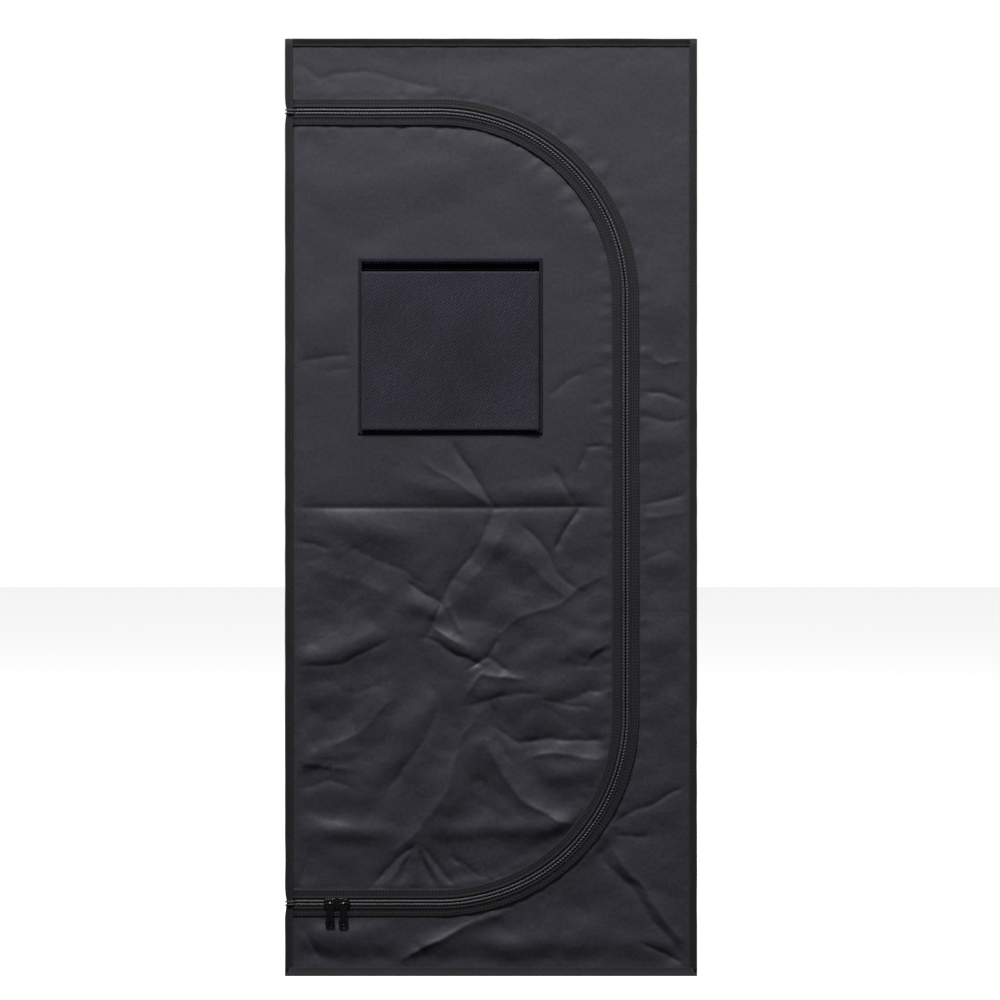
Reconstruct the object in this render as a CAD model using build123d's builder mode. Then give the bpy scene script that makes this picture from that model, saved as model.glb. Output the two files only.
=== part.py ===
"""Portable steam sauna: a padded cloth cabin over a push-together tube frame.

The front wall has a D-shaped door that is zipped along its top, free side and bottom
and hangs from the left corner seam. A window with a privacy flap is sewn into the door.
Millimetres. X is to the right, Y to the back, Z up; the origin is on the floor, under
the middle of the cabin.
"""

import os

from build123d import *

os.makedirs("parts", exist_ok=True)

# Cabin: cloth face to cloth face, and the floor's underside to the roof's top
cabin_width = 776.0
cabin_depth = 776.0
cabin_height = 1802.0
wall_thickness = 3.2  # outer cloth with its padding
lining_thickness = 0.6  # coated film on the inside
seam_gap = 0.2  # between panels that meet at a seam

# Corner seams: a folded tape that laps both faces and stands out at 45 degrees
binding_stand = 10.8
binding_lap = 4.0
binding_tape = 1.2
binding_fold = 4.0  # thickness of the folded flange
foot_binding_height = 15.5
foot_binding_edge = 4.0

# Zip: its centre line, from the hinge seam round the door and back
zip_below_roof = 131.0
zip_above_floor = 140.0
zip_from_right = 127.5
zip_radius = 360.0
zip_half_width = 26.0  # centre line to the outer edge of each tape
zip_tape_thickness = 1.0
zip_tape_inner = 1.2  # centre line to the inner edge of each tape
coil_inner = 0.8
coil_outer = 6.0
coil_height = 1.8
cloth_to_zip = 11.0  # centre line to the cloth's edge

# Door: it turns on a line just in front of the zip, at the left corner tape
hinge_inset = 2.0  # hinge line, in from the left cloth face
hinge_clearance = 0.4  # hinge line, out from the zip's face
door_seam_gap = 0.3  # lap of the corner tape to the door's edge

# Window in the door, with a frame tape, a clear pane, a band and a flap
window_shift = -4.0  # the window's middle from the middle of the door's cloth
window_below_zip = 282.0  # the zip's top run to the frame tape's upper edge
window_frame_width = 358.0
window_frame_height = 343.0
window_frame_tape = 20.0
window_frame_thickness = 1.8
pane_lap = 10.0  # how far the pane reaches under the frame tape
pane_thickness = 0.8
flap_margin = 7.5  # frame tape that shows round the flap
band_height = 19.0
band_thickness = 1.6
flap_gap = 0.6  # band to flap
flap_thickness = 1.2
flap_stand = 1.2  # flap to frame tape
flap_hinge_clearance = 0.2  # flap's face to its hinge line

# Zip sliders and pulls
slider_from_hinge = 77.0  # left cloth face to the middle of the left slider
slider_length = 24.6
slider_gap = 1.4  # between the two noses
plate_lip = 1.0  # plate edge past its flange
plate_taper = 1.0  # the tail's plate edge, in from the nose's
plate_corner = 3.4
plate_thickness = 1.5
slider_clearance = 0.3
slider_neck = 1.0
slider_neck_length = 8.0
flange_thickness = 1.2
flange_drop_gap = 0.4
crown_length = 13.0
crown_bar = 2.0
crown_rise = 3.1  # plate face to the middle of the crown's bar
pull_eye_inner = 1.7
pull_eye_outer = 2.8
pull_eye_width = 3.6
pull_thickness = 1.6
pull_length = 46.0
pull_stem_width = 14.0
pull_end_width = 19.0
pull_stem_start = 3.6
pull_flare_start = 20.0  # above the pull's lower end, as are the next two
pull_flare_end = 10.0
pull_hole_height = 9.0
pull_hole_radius = 3.2

# Tube frame
tube_radius = 9.5
tube_wall = 1.5
socket_wall = 2.4
socket_depth = 32.0
socket_clearance = 0.1
hub_margin = 0.6  # hub face past the sockets
frame_slack = 2.0  # frame to lining
tube_end_gap = 0.5
coupler_length = 70.0
coupler_stop = 2.0
coupler_stop_lip = 2.5  # how far the stop covers the tube's end

# Steam hose port, low in the right wall
port_from_back = 138.0
port_above_floor = 130.0
port_bore_radius = 19.0
port_barrel_radius = 22.0
port_flange_radius = 32.0
port_flange_thickness = 2.5
port_barrel_inside = 8.0  # barrel end past the lining
port_ring_thickness = 3.0
port_clearance = 0.2

# Worked out from the sizes above
half_width = cabin_width / 2
half_depth = cabin_depth / 2
shell = wall_thickness + lining_thickness
left_face = -half_width
bore_radius = tube_radius + socket_clearance
socket_radius = bore_radius + socket_wall
hub_half = socket_radius + hub_margin
frame_x = half_width - shell - frame_slack - hub_half
frame_y = half_depth - shell - frame_slack - hub_half
frame_bottom = shell + seam_gap + hub_half
frame_top = cabin_height - shell - frame_slack - hub_half
frame_middle = (frame_bottom + frame_top) / 2
zip_top = cabin_height - zip_below_roof
zip_bottom = zip_above_floor
zip_right = half_width - zip_from_right
zip_height = zip_top - zip_bottom
zip_middle = (zip_top + zip_bottom) / 2
zip_proud = zip_tape_thickness + coil_height
door_left = left_face + binding_lap + door_seam_gap
window_centre_x = (door_left + zip_right - zip_half_width) / 2 + window_shift
window_centre_z = zip_top - window_below_zip - window_frame_height / 2
port_y = half_depth - port_from_back
port_z = port_above_floor
corners = {
    "front_left": (-1, -1),
    "front_right": (1, -1),
    "back_left": (-1, 1),
    "back_right": (1, 1),
}


def save(piece, name):
    """Labels a finished piece and writes it as its own file."""
    piece.part.label = name
    export_step(piece.part, f"parts/{name}.step")


def front_plane(proud):
    """A plane parallel to the front wall, this far out from its cloth face."""
    return Plane.XZ.offset(half_depth + proud)


def door_outline(grow, left):
    """The D that the zip line encloses, grown by this much, with its straight side at left."""
    right = zip_right + grow
    with BuildSketch(mode=Mode.PRIVATE) as outline:
        with Locations(((left + right) / 2, zip_middle)):
            Rectangle(right - left, zip_height + 2 * grow)
        fillet(outline.vertices().group_by(Axis.X)[-1], radius=zip_radius + grow)
    return outline.sketch


def zip_strip(inner, outer):
    """A strip along the zip line, between two distances from it; positive is outside the door."""
    with BuildSketch(mode=Mode.PRIVATE) as strip:
        add(door_outline(outer, door_left))
        add(door_outline(inner, door_left), mode=Mode.SUBTRACT)
    return strip.sketch


def window_rectangle(margin):
    """A rectangle on the window's centre, this far inside the frame tape's outer edge."""
    with BuildSketch(mode=Mode.PRIVATE) as rectangle:
        with Locations((window_centre_x, window_centre_z)):
            Rectangle(window_frame_width - 2 * margin, window_frame_height - 2 * margin)
    return rectangle.sketch


# ---------------------------------------------------------------- cloth walls
def front_sheet(proud, thickness, side_inset, end_inset):
    """The front wall's cloth, a C round the door, from this far out and this thick."""
    with BuildPart() as sheet:
        with BuildSketch(front_plane(proud)):
            with Locations((0, cabin_height / 2)):
                Rectangle(cabin_width - 2 * side_inset, cabin_height - 2 * end_inset)
            add(door_outline(cloth_to_zip, left_face - binding_lap), mode=Mode.SUBTRACT)
        extrude(amount=-thickness)
    return sheet


save(front_sheet(0, wall_thickness, 0, 0), "front_wall")
save(
    front_sheet(-wall_thickness, lining_thickness, wall_thickness + seam_gap, wall_thickness + seam_gap),
    "front_lining",
)


def back_sheet(inset, thickness, side_inset, end_inset):
    """The back wall's cloth or its lining, this far in from the back face."""
    with BuildPart() as sheet:
        with BuildSketch(Plane.XZ.offset(-(half_depth - inset))):
            with Locations((0, cabin_height / 2)):
                Rectangle(cabin_width - 2 * side_inset, cabin_height - 2 * end_inset)
        extrude(amount=thickness)
    return sheet


save(back_sheet(0, wall_thickness, 0, 0), "back_wall")
save(
    back_sheet(wall_thickness, lining_thickness, wall_thickness + seam_gap, wall_thickness + seam_gap),
    "back_lining",
)


def side_sheet(side, inset, thickness, depth_inset, end_inset, port=False):
    """A side wall's cloth or its lining; the right one has the steam port's hole."""
    outward = Plane(origin=(side * (half_width - inset), 0, 0), x_dir=(0, 1, 0), z_dir=(1, 0, 0))
    with BuildPart() as sheet:
        with BuildSketch(outward):
            with Locations((0, cabin_height / 2)):
                Rectangle(cabin_depth - 2 * depth_inset, cabin_height - 2 * end_inset)
            if port:
                with Locations((port_y, port_z)):
                    Circle(port_barrel_radius + port_clearance, mode=Mode.SUBTRACT)
        extrude(amount=-side * thickness)
    return sheet


for side_name, side in (("left", -1), ("right", 1)):
    has_port = side_name == "right"
    wall = side_sheet(side, 0, wall_thickness, wall_thickness + seam_gap, 0, has_port)
    save(wall, f"{side_name}_wall")
    lining_inset = shell + seam_gap
    lining = side_sheet(
        side, wall_thickness, lining_thickness, lining_inset, wall_thickness + seam_gap, has_port
    )
    save(lining, f"{side_name}_lining")


def level_sheet(z_low, thickness, inset):
    """The roof, the floor or the lining of one of them."""
    with BuildPart() as sheet:
        with BuildSketch(Plane.XY.offset(z_low)):
            Rectangle(cabin_width - 2 * inset, cabin_depth - 2 * inset)
        extrude(amount=thickness)
    return sheet


save(level_sheet(cabin_height - wall_thickness, wall_thickness, wall_thickness + seam_gap), "roof_panel")
save(level_sheet(cabin_height - shell, lining_thickness, shell + seam_gap), "roof_lining")
save(level_sheet(0, wall_thickness, wall_thickness + seam_gap), "floor_panel")
save(level_sheet(wall_thickness, lining_thickness, shell + seam_gap), "floor_lining")


# ---------------------------------------------------------------- corner seam tapes
def binding_section():
    """Section of a folded corner tape. The cabin fills the quarter where both are negative."""
    side = binding_fold / 2 * 2**0.5
    reach = binding_stand
    with BuildSketch(mode=Mode.PRIVATE) as section:
        with BuildLine():
            Polyline(
                (0, 0),
                (0, -binding_lap),
                (binding_tape, -binding_lap),
                (binding_tape, binding_tape - side),
                (reach, reach - side),
                (reach, reach),
                (reach - side, reach),
                (binding_tape - side, binding_tape),
                (-binding_lap, binding_tape),
                (-binding_lap, 0),
                close=True,
            )
        make_face()
    return section.sketch


def foot_section():
    """Section of the tape round the floor: wide and flat below, thin above."""
    with BuildSketch(mode=Mode.PRIVATE) as section:
        with BuildLine():
            Polyline(
                (0, 0),
                (binding_stand, 0),
                (binding_stand, foot_binding_edge),
                (binding_tape, foot_binding_height),
                (0, foot_binding_height),
                close=True,
            )
        make_face()
    return section.sketch


post_bottom = foot_binding_height + seam_gap
post_length = cabin_height + binding_stand - post_bottom
rail_trim = binding_lap + seam_gap

for end_name, end in (("front", -1), ("back", 1)):
    with BuildPart() as end_binding:
        for side in (-1, 1):
            corner_x = side * half_width
            corner_y = end * half_depth
            turn = 0 if side * end > 0 else 1
            post_plane = Plane(
                origin=(corner_x, corner_y, post_bottom + turn * post_length),
                x_dir=(side, 0, 0),
                z_dir=(0, 0, side * end),
            )
            with BuildSketch(post_plane):
                add(binding_section())
            extrude(amount=post_length)
        rail_length = cabin_width - 2 * rail_trim
        rail_plane = Plane(
            origin=(-end * rail_length / 2, end * half_depth, cabin_height),
            x_dir=(0, end, 0),
            z_dir=(end, 0, 0),
        )
        with BuildSketch(rail_plane):
            add(binding_section())
        extrude(amount=rail_length)
        foot_length = cabin_width + 2 * binding_stand
        foot_plane = Plane(
            origin=(-end * foot_length / 2, end * half_depth, 0),
            x_dir=(0, end, 0),
            z_dir=(end, 0, 0),
        )
        with BuildSketch(foot_plane):
            add(foot_section())
        extrude(amount=foot_length)
    save(end_binding, f"{end_name}_binding")

with BuildPart() as side_binding:
    for side in (-1, 1):
        rail_length = cabin_depth - 2 * rail_trim
        rail_plane = Plane(
            origin=(side * half_width, side * rail_length / 2, cabin_height),
            x_dir=(side, 0, 0),
            z_dir=(0, -side, 0),
        )
        with BuildSketch(rail_plane):
            add(binding_section())
        extrude(amount=rail_length)
        foot_length = cabin_depth - 2 * seam_gap
        foot_plane = Plane(
            origin=(side * half_width, side * foot_length / 2, 0),
            x_dir=(side, 0, 0),
            z_dir=(0, -side, 0),
        )
        with BuildSketch(foot_plane):
            add(foot_section())
        extrude(amount=foot_length)
save(side_binding, "side_binding")

# ---------------------------------------------------------------- zip
for owner, way in (("wall", 1), ("door", -1)):
    near, far = sorted((way * zip_tape_inner, way * zip_half_width))
    with BuildPart() as zip_tape:
        with BuildSketch(front_plane(0)):
            add(zip_strip(near, far))
        extrude(amount=zip_tape_thickness)
    save(zip_tape, f"{owner}_zip_tape")

    near, far = sorted((way * coil_inner, way * coil_outer))
    with BuildPart() as zip_coil:
        with BuildSketch(front_plane(zip_tape_thickness)):
            add(zip_strip(near, far))
        extrude(amount=coil_height)
    save(zip_coil, f"{owner}_zip_coil")

# ---------------------------------------------------------------- door and window
window_hole_margin = window_frame_tape
pane_margin = window_frame_tape - pane_lap
for name, proud, thickness in (
    ("door_panel", 0, wall_thickness),
    ("door_lining", -wall_thickness, lining_thickness),
):
    with BuildPart() as door_sheet:
        with BuildSketch(front_plane(proud)):
            add(door_outline(-cloth_to_zip, door_left))
            add(window_rectangle(window_hole_margin), mode=Mode.SUBTRACT)
        extrude(amount=-thickness)
    save(door_sheet, name)

with BuildPart() as window_pane:
    with BuildSketch(front_plane(0)):
        add(window_rectangle(pane_margin))
    extrude(amount=pane_thickness)
save(window_pane, "window_pane")

with BuildPart() as window_frame:
    with BuildSketch(front_plane(0)):
        add(window_rectangle(0))
        add(window_rectangle(window_hole_margin), mode=Mode.SUBTRACT)
    extrude(amount=window_frame_thickness)
    with BuildSketch(front_plane(0)):
        add(window_rectangle(pane_margin - seam_gap))
    extrude(amount=pane_thickness, mode=Mode.SUBTRACT)
save(window_frame, "window_frame")

flap_width = window_frame_width - 2 * flap_margin
band_top = window_centre_z + window_frame_height / 2 - flap_margin
band_bottom = band_top - band_height
flap_top = band_bottom - flap_gap
flap_bottom = window_centre_z - window_frame_height / 2 + flap_margin

with BuildPart() as flap_band:
    with BuildSketch(front_plane(window_frame_thickness)):
        with Locations((window_centre_x, band_top - band_height / 2)):
            Rectangle(flap_width, band_height)
    extrude(amount=band_thickness)
save(flap_band, "flap_band")

with BuildPart() as window_flap:
    with BuildSketch(front_plane(window_frame_thickness + flap_stand)):
        with Locations((window_centre_x, (flap_top + flap_bottom) / 2)):
            Rectangle(flap_width, flap_top - flap_bottom)
    extrude(amount=flap_thickness)
save(window_flap, "window_flap")

# ---------------------------------------------------------------- zip sliders and pulls
outer_plate_face = zip_proud + slider_clearance
inner_plate_face = -slider_clearance
outer_crown = outer_plate_face + plate_thickness + crown_rise
inner_crown = inner_plate_face - plate_thickness - crown_rise
flange_inner = coil_outer + slider_clearance
plate_half_width = flange_inner + flange_thickness + plate_lip
tail_half_width = plate_half_width - plate_taper
slider_pitch = slider_length + slider_gap


def plate_outline(x, nose):
    """A slider plate seen from the front: wide at the nose, narrower at the tail."""
    reach = slider_length / 2
    with BuildSketch(mode=Mode.PRIVATE) as outline:
        with BuildLine():
            Polyline(
                (x - nose * reach, zip_bottom - tail_half_width),
                (x + nose * reach / 3, zip_bottom - plate_half_width),
                (x + nose * reach, zip_bottom - plate_half_width),
                (x + nose * reach, zip_bottom + plate_half_width),
                (x + nose * reach / 3, zip_bottom + plate_half_width),
                (x - nose * reach, zip_bottom + tail_half_width),
                close=True,
            )
        make_face()
        fillet(outline.vertices().group_by(Axis.X)[0], radius=plate_corner)
        fillet(outline.vertices().group_by(Axis.X)[-1], radius=plate_corner)
    return outline.sketch


def crown_section(way):
    """The bridge that holds a pull, seen from above: a bar along the zip on two legs."""
    rise = crown_rise + crown_bar / 2
    opening = crown_rise - crown_bar / 2
    with BuildSketch(mode=Mode.PRIVATE) as section:
        with Locations((0, -way * rise / 2)):
            Rectangle(crown_length, rise)
        with Locations((0, -way * opening / 2)):
            Rectangle(crown_length - 2 * crown_bar, opening, mode=Mode.SUBTRACT)
    return section.sketch


def pull_outline():
    """A pull seen from the front, hanging from its crown's bar at (0, 0)."""
    end = -pull_length
    neck = -(pull_eye_inner + pull_eye_outer) / 2
    half = [(pull_eye_width / 2, neck), (pull_eye_width / 2, -pull_stem_start)]
    half += [(pull_stem_width / 2, -pull_stem_start), (pull_stem_width / 2, end + pull_flare_start)]
    half += [(pull_end_width / 2, end + pull_flare_end), (pull_end_width / 2, end)]
    with BuildSketch(mode=Mode.PRIVATE) as outline:
        with BuildLine():
            Polyline(*half, *((-x, z) for x, z in reversed(half)), close=True)
        make_face()
        fillet(outline.vertices().group_by(Axis.Y)[0], radius=pull_end_width / 3)
        with Locations((0, end + pull_hole_height)):
            Circle(pull_hole_radius, mode=Mode.SUBTRACT)
    return outline.sketch


sliders = {
    "left": (left_face + slider_from_hinge, 1),
    "right": (left_face + slider_from_hinge + slider_pitch, -1),
}
for name, (slider_x, nose) in sliders.items():
    with BuildPart() as slider:
        with BuildSketch(front_plane(outer_plate_face)):
            add(plate_outline(slider_x, nose))
        extrude(amount=plate_thickness)
        with BuildSketch(front_plane(inner_plate_face)):
            add(plate_outline(slider_x, nose))
        extrude(amount=-plate_thickness)
        neck_x = slider_x + nose * (slider_length - slider_neck_length) / 2
        with BuildSketch(front_plane(inner_plate_face)):
            with Locations((neck_x, zip_bottom)):
                Rectangle(slider_neck_length, slider_neck)
        extrude(amount=outer_plate_face - inner_plate_face)
        flange_z = flange_inner + flange_thickness / 2
        with BuildSketch(front_plane(outer_plate_face)):
            with Locations((slider_x, zip_bottom - flange_z), (slider_x, zip_bottom + flange_z)):
                Rectangle(slider_length * 2 / 3, flange_thickness)
        extrude(amount=-(coil_height + slider_clearance - flange_drop_gap))
        for way, face in ((1, outer_plate_face + plate_thickness), (-1, inner_plate_face - plate_thickness)):
            with BuildSketch(Plane(origin=(slider_x, -half_depth - face, zip_bottom - crown_bar / 2))):
                add(crown_section(way))
            extrude(amount=crown_bar)
    save(slider, f"{name}_slider")

    for side_name, crown_proud in (("outer", outer_crown), ("inner", inner_crown)):
        bar_y = -half_depth - crown_proud
        with BuildPart() as pull:
            with BuildSketch(Plane.XZ.offset(-bar_y - pull_thickness / 2)):
                with Locations((slider_x, zip_bottom)):
                    add(pull_outline())
            extrude(amount=pull_thickness)
            with BuildSketch(Plane((slider_x - pull_eye_width / 2, bar_y, zip_bottom), (0, 1, 0), (1, 0, 0))):
                Circle(pull_eye_outer)
                Circle(pull_eye_inner, mode=Mode.SUBTRACT)
            extrude(amount=pull_eye_width)
        save(pull, f"{name}_{side_name}_pull")

# ---------------------------------------------------------------- tube frame
arm_length = hub_half + socket_depth


def tube(start, direction, length):
    """A straight frame tube from start."""
    with BuildPart() as piece:
        with BuildSketch(Plane(origin=start, z_dir=direction)):
            Circle(tube_radius)
            Circle(tube_radius - tube_wall, mode=Mode.SUBTRACT)
        extrude(amount=length)
    return piece


for level, level_z, up in (("bottom", frame_bottom, 1), ("top", frame_top, -1)):
    for corner, (side, end) in corners.items():
        hub = Vector(side * frame_x, end * frame_y, level_z)
        arms = (Vector(-side, 0, 0), Vector(0, -end, 0), Vector(0, 0, up))
        with BuildPart() as connector:
            with Locations(hub):
                Box(2 * hub_half, 2 * hub_half, 2 * hub_half)
            chamfer(connector.edges(), length=hub_half / 6)
            for arm in arms:
                with BuildSketch(Plane(origin=hub, z_dir=arm)):
                    Circle(socket_radius)
                extrude(amount=arm_length)
            for arm in arms:
                with BuildSketch(Plane(origin=hub + arm * hub_half, z_dir=arm)):
                    Circle(bore_radius)
                extrude(amount=socket_depth, mode=Mode.SUBTRACT)
        save(connector, f"{level}_connector_{corner}")

    setback = hub_half + tube_end_gap
    for end_name, end in (("front", -1), ("back", 1)):
        start = (-frame_x + setback, end * frame_y, level_z)
        save(tube(start, (1, 0, 0), 2 * (frame_x - setback)), f"{level}_tube_{end_name}")
    for side_name, side in (("left", -1), ("right", 1)):
        start = (side * frame_x, -frame_y + setback, level_z)
        save(tube(start, (0, 1, 0), 2 * (frame_y - setback)), f"{level}_tube_{side_name}")

upright_length = frame_middle - frame_bottom - setback - coupler_stop / 2 - tube_end_gap
for corner, (side, end) in corners.items():
    lower_start = (side * frame_x, end * frame_y, frame_bottom + setback)
    save(tube(lower_start, (0, 0, 1), upright_length), f"lower_upright_{corner}")
    upper_start = (side * frame_x, end * frame_y, frame_top - setback)
    save(tube(upper_start, (0, 0, -1), upright_length), f"upper_upright_{corner}")

with BuildPart() as upright_couplers:
    for side, end in corners.values():
        with BuildSketch(Plane(origin=(side * frame_x, end * frame_y, frame_middle - coupler_length / 2))):
            Circle(socket_radius)
            Circle(bore_radius, mode=Mode.SUBTRACT)
        extrude(amount=coupler_length)
        with BuildSketch(Plane(origin=(side * frame_x, end * frame_y, frame_middle - coupler_stop / 2))):
            Circle(socket_radius)
            Circle(tube_radius - coupler_stop_lip, mode=Mode.SUBTRACT)
        extrude(amount=coupler_stop)
save(upright_couplers, "upright_couplers")

# ---------------------------------------------------------------- steam hose port
port_plane = Plane(origin=(half_width, port_y, port_z), x_dir=(0, 1, 0), z_dir=(1, 0, 0))
port_depth = shell + port_barrel_inside
with BuildPart() as port_bush:
    with BuildSketch(port_plane):
        Circle(port_flange_radius)
    extrude(amount=port_flange_thickness)
    with BuildSketch(port_plane):
        Circle(port_barrel_radius)
    extrude(amount=-port_depth)
    with BuildSketch(port_plane.offset(port_flange_thickness)):
        Circle(port_bore_radius)
    extrude(amount=-(port_depth + port_flange_thickness), mode=Mode.SUBTRACT)
save(port_bush, "steam_port_bush")

with BuildPart() as port_ring:
    with BuildSketch(port_plane.offset(-shell)):
        Circle(port_flange_radius)
        Circle(port_barrel_radius + port_clearance, mode=Mode.SUBTRACT)
    extrude(amount=-port_ring_thickness)
save(port_ring, "steam_port_ring")

# ---------------------------------------------------------------- where the joints and mounts lie
flap_axis_proud = window_frame_thickness + flap_stand + flap_thickness + flap_hinge_clearance
left_run = sliders["left"][0] - slider_length / 2 - door_left
right_run = zip_right - zip_radius - sliders["right"][0] - slider_length / 2
for place, x, y, z in (
    ("door hinge", left_face + hinge_inset, -half_depth - zip_proud - hinge_clearance, zip_middle),
    ("flap hinge", window_centre_x, -half_depth - flap_axis_proud, band_bottom - flap_gap / 2),
    ("left outer pull", sliders["left"][0], -half_depth - outer_crown, zip_bottom),
    ("left inner pull", sliders["left"][0], -half_depth - inner_crown, zip_bottom),
    ("right outer pull", sliders["right"][0], -half_depth - outer_crown, zip_bottom),
    ("right inner pull", sliders["right"][0], -half_depth - inner_crown, zip_bottom),
    ("steam port bore", half_width - port_depth / 2, port_y, port_z),
):
    print(f"{place}: {x:.2f}, {y:.2f}, {z:.2f}")
print(f"straight zip beside the left slider: {left_run:.1f}, beside the right slider: {right_run:.1f}")
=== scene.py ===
# %% [markdown]
# # A portable steam sauna, finished in Blender
#
# The CAD model fixes where everything is: the cloth cabin, the D-shaped zipped door, the
# window, the sliders and the tube frame inside. This lesson dresses it. Each stiff cloth
# plate becomes real cloth with the creases of a cover that was folded in a box, the zip
# gets its tapes, stitches and teeth, and every surface gets a material made from nodes.
#
# Lengths are in metres. X is to the right, Y to the back, Z up, and the front faces -Y.

# %% Load the frame
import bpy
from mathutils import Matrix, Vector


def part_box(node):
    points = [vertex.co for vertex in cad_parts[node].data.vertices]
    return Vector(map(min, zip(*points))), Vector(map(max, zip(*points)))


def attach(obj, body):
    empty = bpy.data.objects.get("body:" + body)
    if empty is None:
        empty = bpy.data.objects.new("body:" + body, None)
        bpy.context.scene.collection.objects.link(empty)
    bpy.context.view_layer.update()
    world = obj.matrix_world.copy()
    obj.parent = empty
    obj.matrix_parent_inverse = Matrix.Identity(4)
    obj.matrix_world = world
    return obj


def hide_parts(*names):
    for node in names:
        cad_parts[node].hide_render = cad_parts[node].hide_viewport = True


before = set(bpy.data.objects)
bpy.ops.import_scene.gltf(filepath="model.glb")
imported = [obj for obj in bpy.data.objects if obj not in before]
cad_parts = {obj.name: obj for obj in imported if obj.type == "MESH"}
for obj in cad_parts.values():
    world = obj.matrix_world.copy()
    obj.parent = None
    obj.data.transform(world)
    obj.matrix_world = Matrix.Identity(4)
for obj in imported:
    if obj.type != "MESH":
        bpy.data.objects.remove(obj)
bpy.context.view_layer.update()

import math

import bmesh
import bpy
from mathutils import Matrix, Vector, noise

MM = 0.001

# %% [markdown]
# ## Where things are
#
# Nothing is placed by eye. The faces of the cabin and the line of the zip are read from
# the boxes of the CAD pieces, so the cloth meets the frame wherever the frame is.

# %% Faces of the cabin and line of the zip
wall_low, wall_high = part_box("front_wall")
_, back_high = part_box("back_wall")
tape_low, tape_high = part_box("wall_zip_tape")
hole_low, hole_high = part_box("window_pane")
frame_low, frame_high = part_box("window_frame")
flap_low, flap_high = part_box("window_flap")
band_low, band_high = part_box("flap_band")

LEFT, RIGHT, TOP = wall_low.x, wall_high.x, wall_high.z
FRONT, BACK = wall_low.y, back_high.y
CLOTH = wall_high.y - wall_low.y
ZIP_HALF = 26.0 * MM
ZIP_RADIUS = 360.0 * MM
CLOTH_TO_ZIP = 11.0 * MM
ZIP_LEFT = tape_low.x
ZIP_RIGHT = tape_high.x - ZIP_HALF
ZIP_TOP = tape_high.z - ZIP_HALF
ZIP_BOTTOM = tape_low.z + ZIP_HALF
ARC_X = ZIP_RIGHT - ZIP_RADIUS
ARC_TOP = ZIP_TOP - ZIP_RADIUS
ARC_BOTTOM = ZIP_BOTTOM + ZIP_RADIUS
TOP_RUN = ARC_X - ZIP_LEFT
ARC_RUN = ZIP_RADIUS * math.pi / 2
SIDE_RUN = ARC_TOP - ARC_BOTTOM
ZIP_LENGTH = 2 * TOP_RUN + 2 * ARC_RUN + SIDE_RUN


def zip_offset(x, z):
    """Distance from the zip's centre line, positive outside the door."""
    if x > ARC_X and z > ARC_TOP:
        return math.hypot(x - ARC_X, z - ARC_TOP) - ZIP_RADIUS
    if x > ARC_X and z < ARC_BOTTOM:
        return math.hypot(x - ARC_X, z - ARC_BOTTOM) - ZIP_RADIUS
    return max(x - ZIP_RIGHT, z - ZIP_TOP, ZIP_BOTTOM - z)


def arc_point(arc_z, turn):
    """Point on one of the zip's two arcs, after it has turned this far clockwise."""
    return Vector((ARC_X + ZIP_RADIUS * math.sin(turn), FRONT, arc_z + ZIP_RADIUS * math.cos(turn)))


def zip_point(along):
    """Point on the zip's centre line at a distance from its top left end, and its heading.

    The heading is how far the line has turned clockwise, seen from the front."""
    if along < TOP_RUN:
        return Vector((ZIP_LEFT + along, FRONT, ZIP_TOP)), 0.0
    along -= TOP_RUN
    if along < ARC_RUN:
        turn = along / ZIP_RADIUS
        return arc_point(ARC_TOP, turn), turn
    along -= ARC_RUN
    if along < SIDE_RUN:
        return Vector((ZIP_RIGHT, FRONT, ARC_TOP - along)), math.pi / 2
    along -= SIDE_RUN
    if along < ARC_RUN:
        turn = math.pi / 2 + along / ZIP_RADIUS
        return arc_point(ARC_BOTTOM, turn), turn
    return Vector((ARC_X - (along - ARC_RUN), FRONT, ZIP_BOTTOM)), math.pi


def zip_along(x, z):
    """Distance along the zip's centre line of the point of it nearest to (x, z)."""
    if x <= ARC_X:
        return x - ZIP_LEFT if z > (ZIP_TOP + ZIP_BOTTOM) / 2 else ZIP_LENGTH - (x - ZIP_LEFT)
    if z > ARC_TOP:
        return TOP_RUN + ZIP_RADIUS * math.atan2(x - ARC_X, z - ARC_TOP)
    if z >= ARC_BOTTOM:
        return TOP_RUN + ARC_RUN + ARC_TOP - z
    return TOP_RUN + ARC_RUN + SIDE_RUN + ZIP_RADIUS * math.atan2(ARC_BOTTOM - z, x - ARC_X)


print(f"zip: {ZIP_LENGTH:.3f} m of centre line")

# %% [markdown]
# ## Camera, floor and light
#
# A product picture of a box like this is taken square on, from far away, with a long lens,
# so that its sides stay parallel. The light is a large soft box high in front: the top of
# the cabin is nearer to it, which is why dark cloth looks lighter at the top.

# %% Camera
FRAME_WIDTH = 1.936
LENS = 85.0
SENSOR = 36.0
CAMERA_X = 17.4 * MM
CAMERA_HEIGHT = 920.0 * MM
camera_data = bpy.data.cameras.new("camera")
camera_data.lens = LENS
camera_data.sensor_width = SENSOR
camera = bpy.data.objects.new("camera", camera_data)
camera.location = (CAMERA_X, FRONT - FRAME_WIDTH * LENS / SENSOR, CAMERA_HEIGHT)
camera.rotation_euler = (math.pi / 2, 0.0, 0.0)
bpy.context.collection.objects.link(camera)
bpy.context.scene.camera = camera
print(f"camera: {FRONT - camera.location.y:.2f} m in front of the cabin")

# %% Floor
FLOOR_HALF = 20.0


def finished(mesh_builder, name, *materials):
    """Turns a bmesh into an object at the origin, with its materials."""
    mesh = bpy.data.meshes.new(name)
    mesh_builder.to_mesh(mesh)
    mesh_builder.free()
    piece = bpy.data.objects.new(name, mesh)
    bpy.context.collection.objects.link(piece)
    for material in materials:
        mesh.materials.append(material)
    return piece


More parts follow.
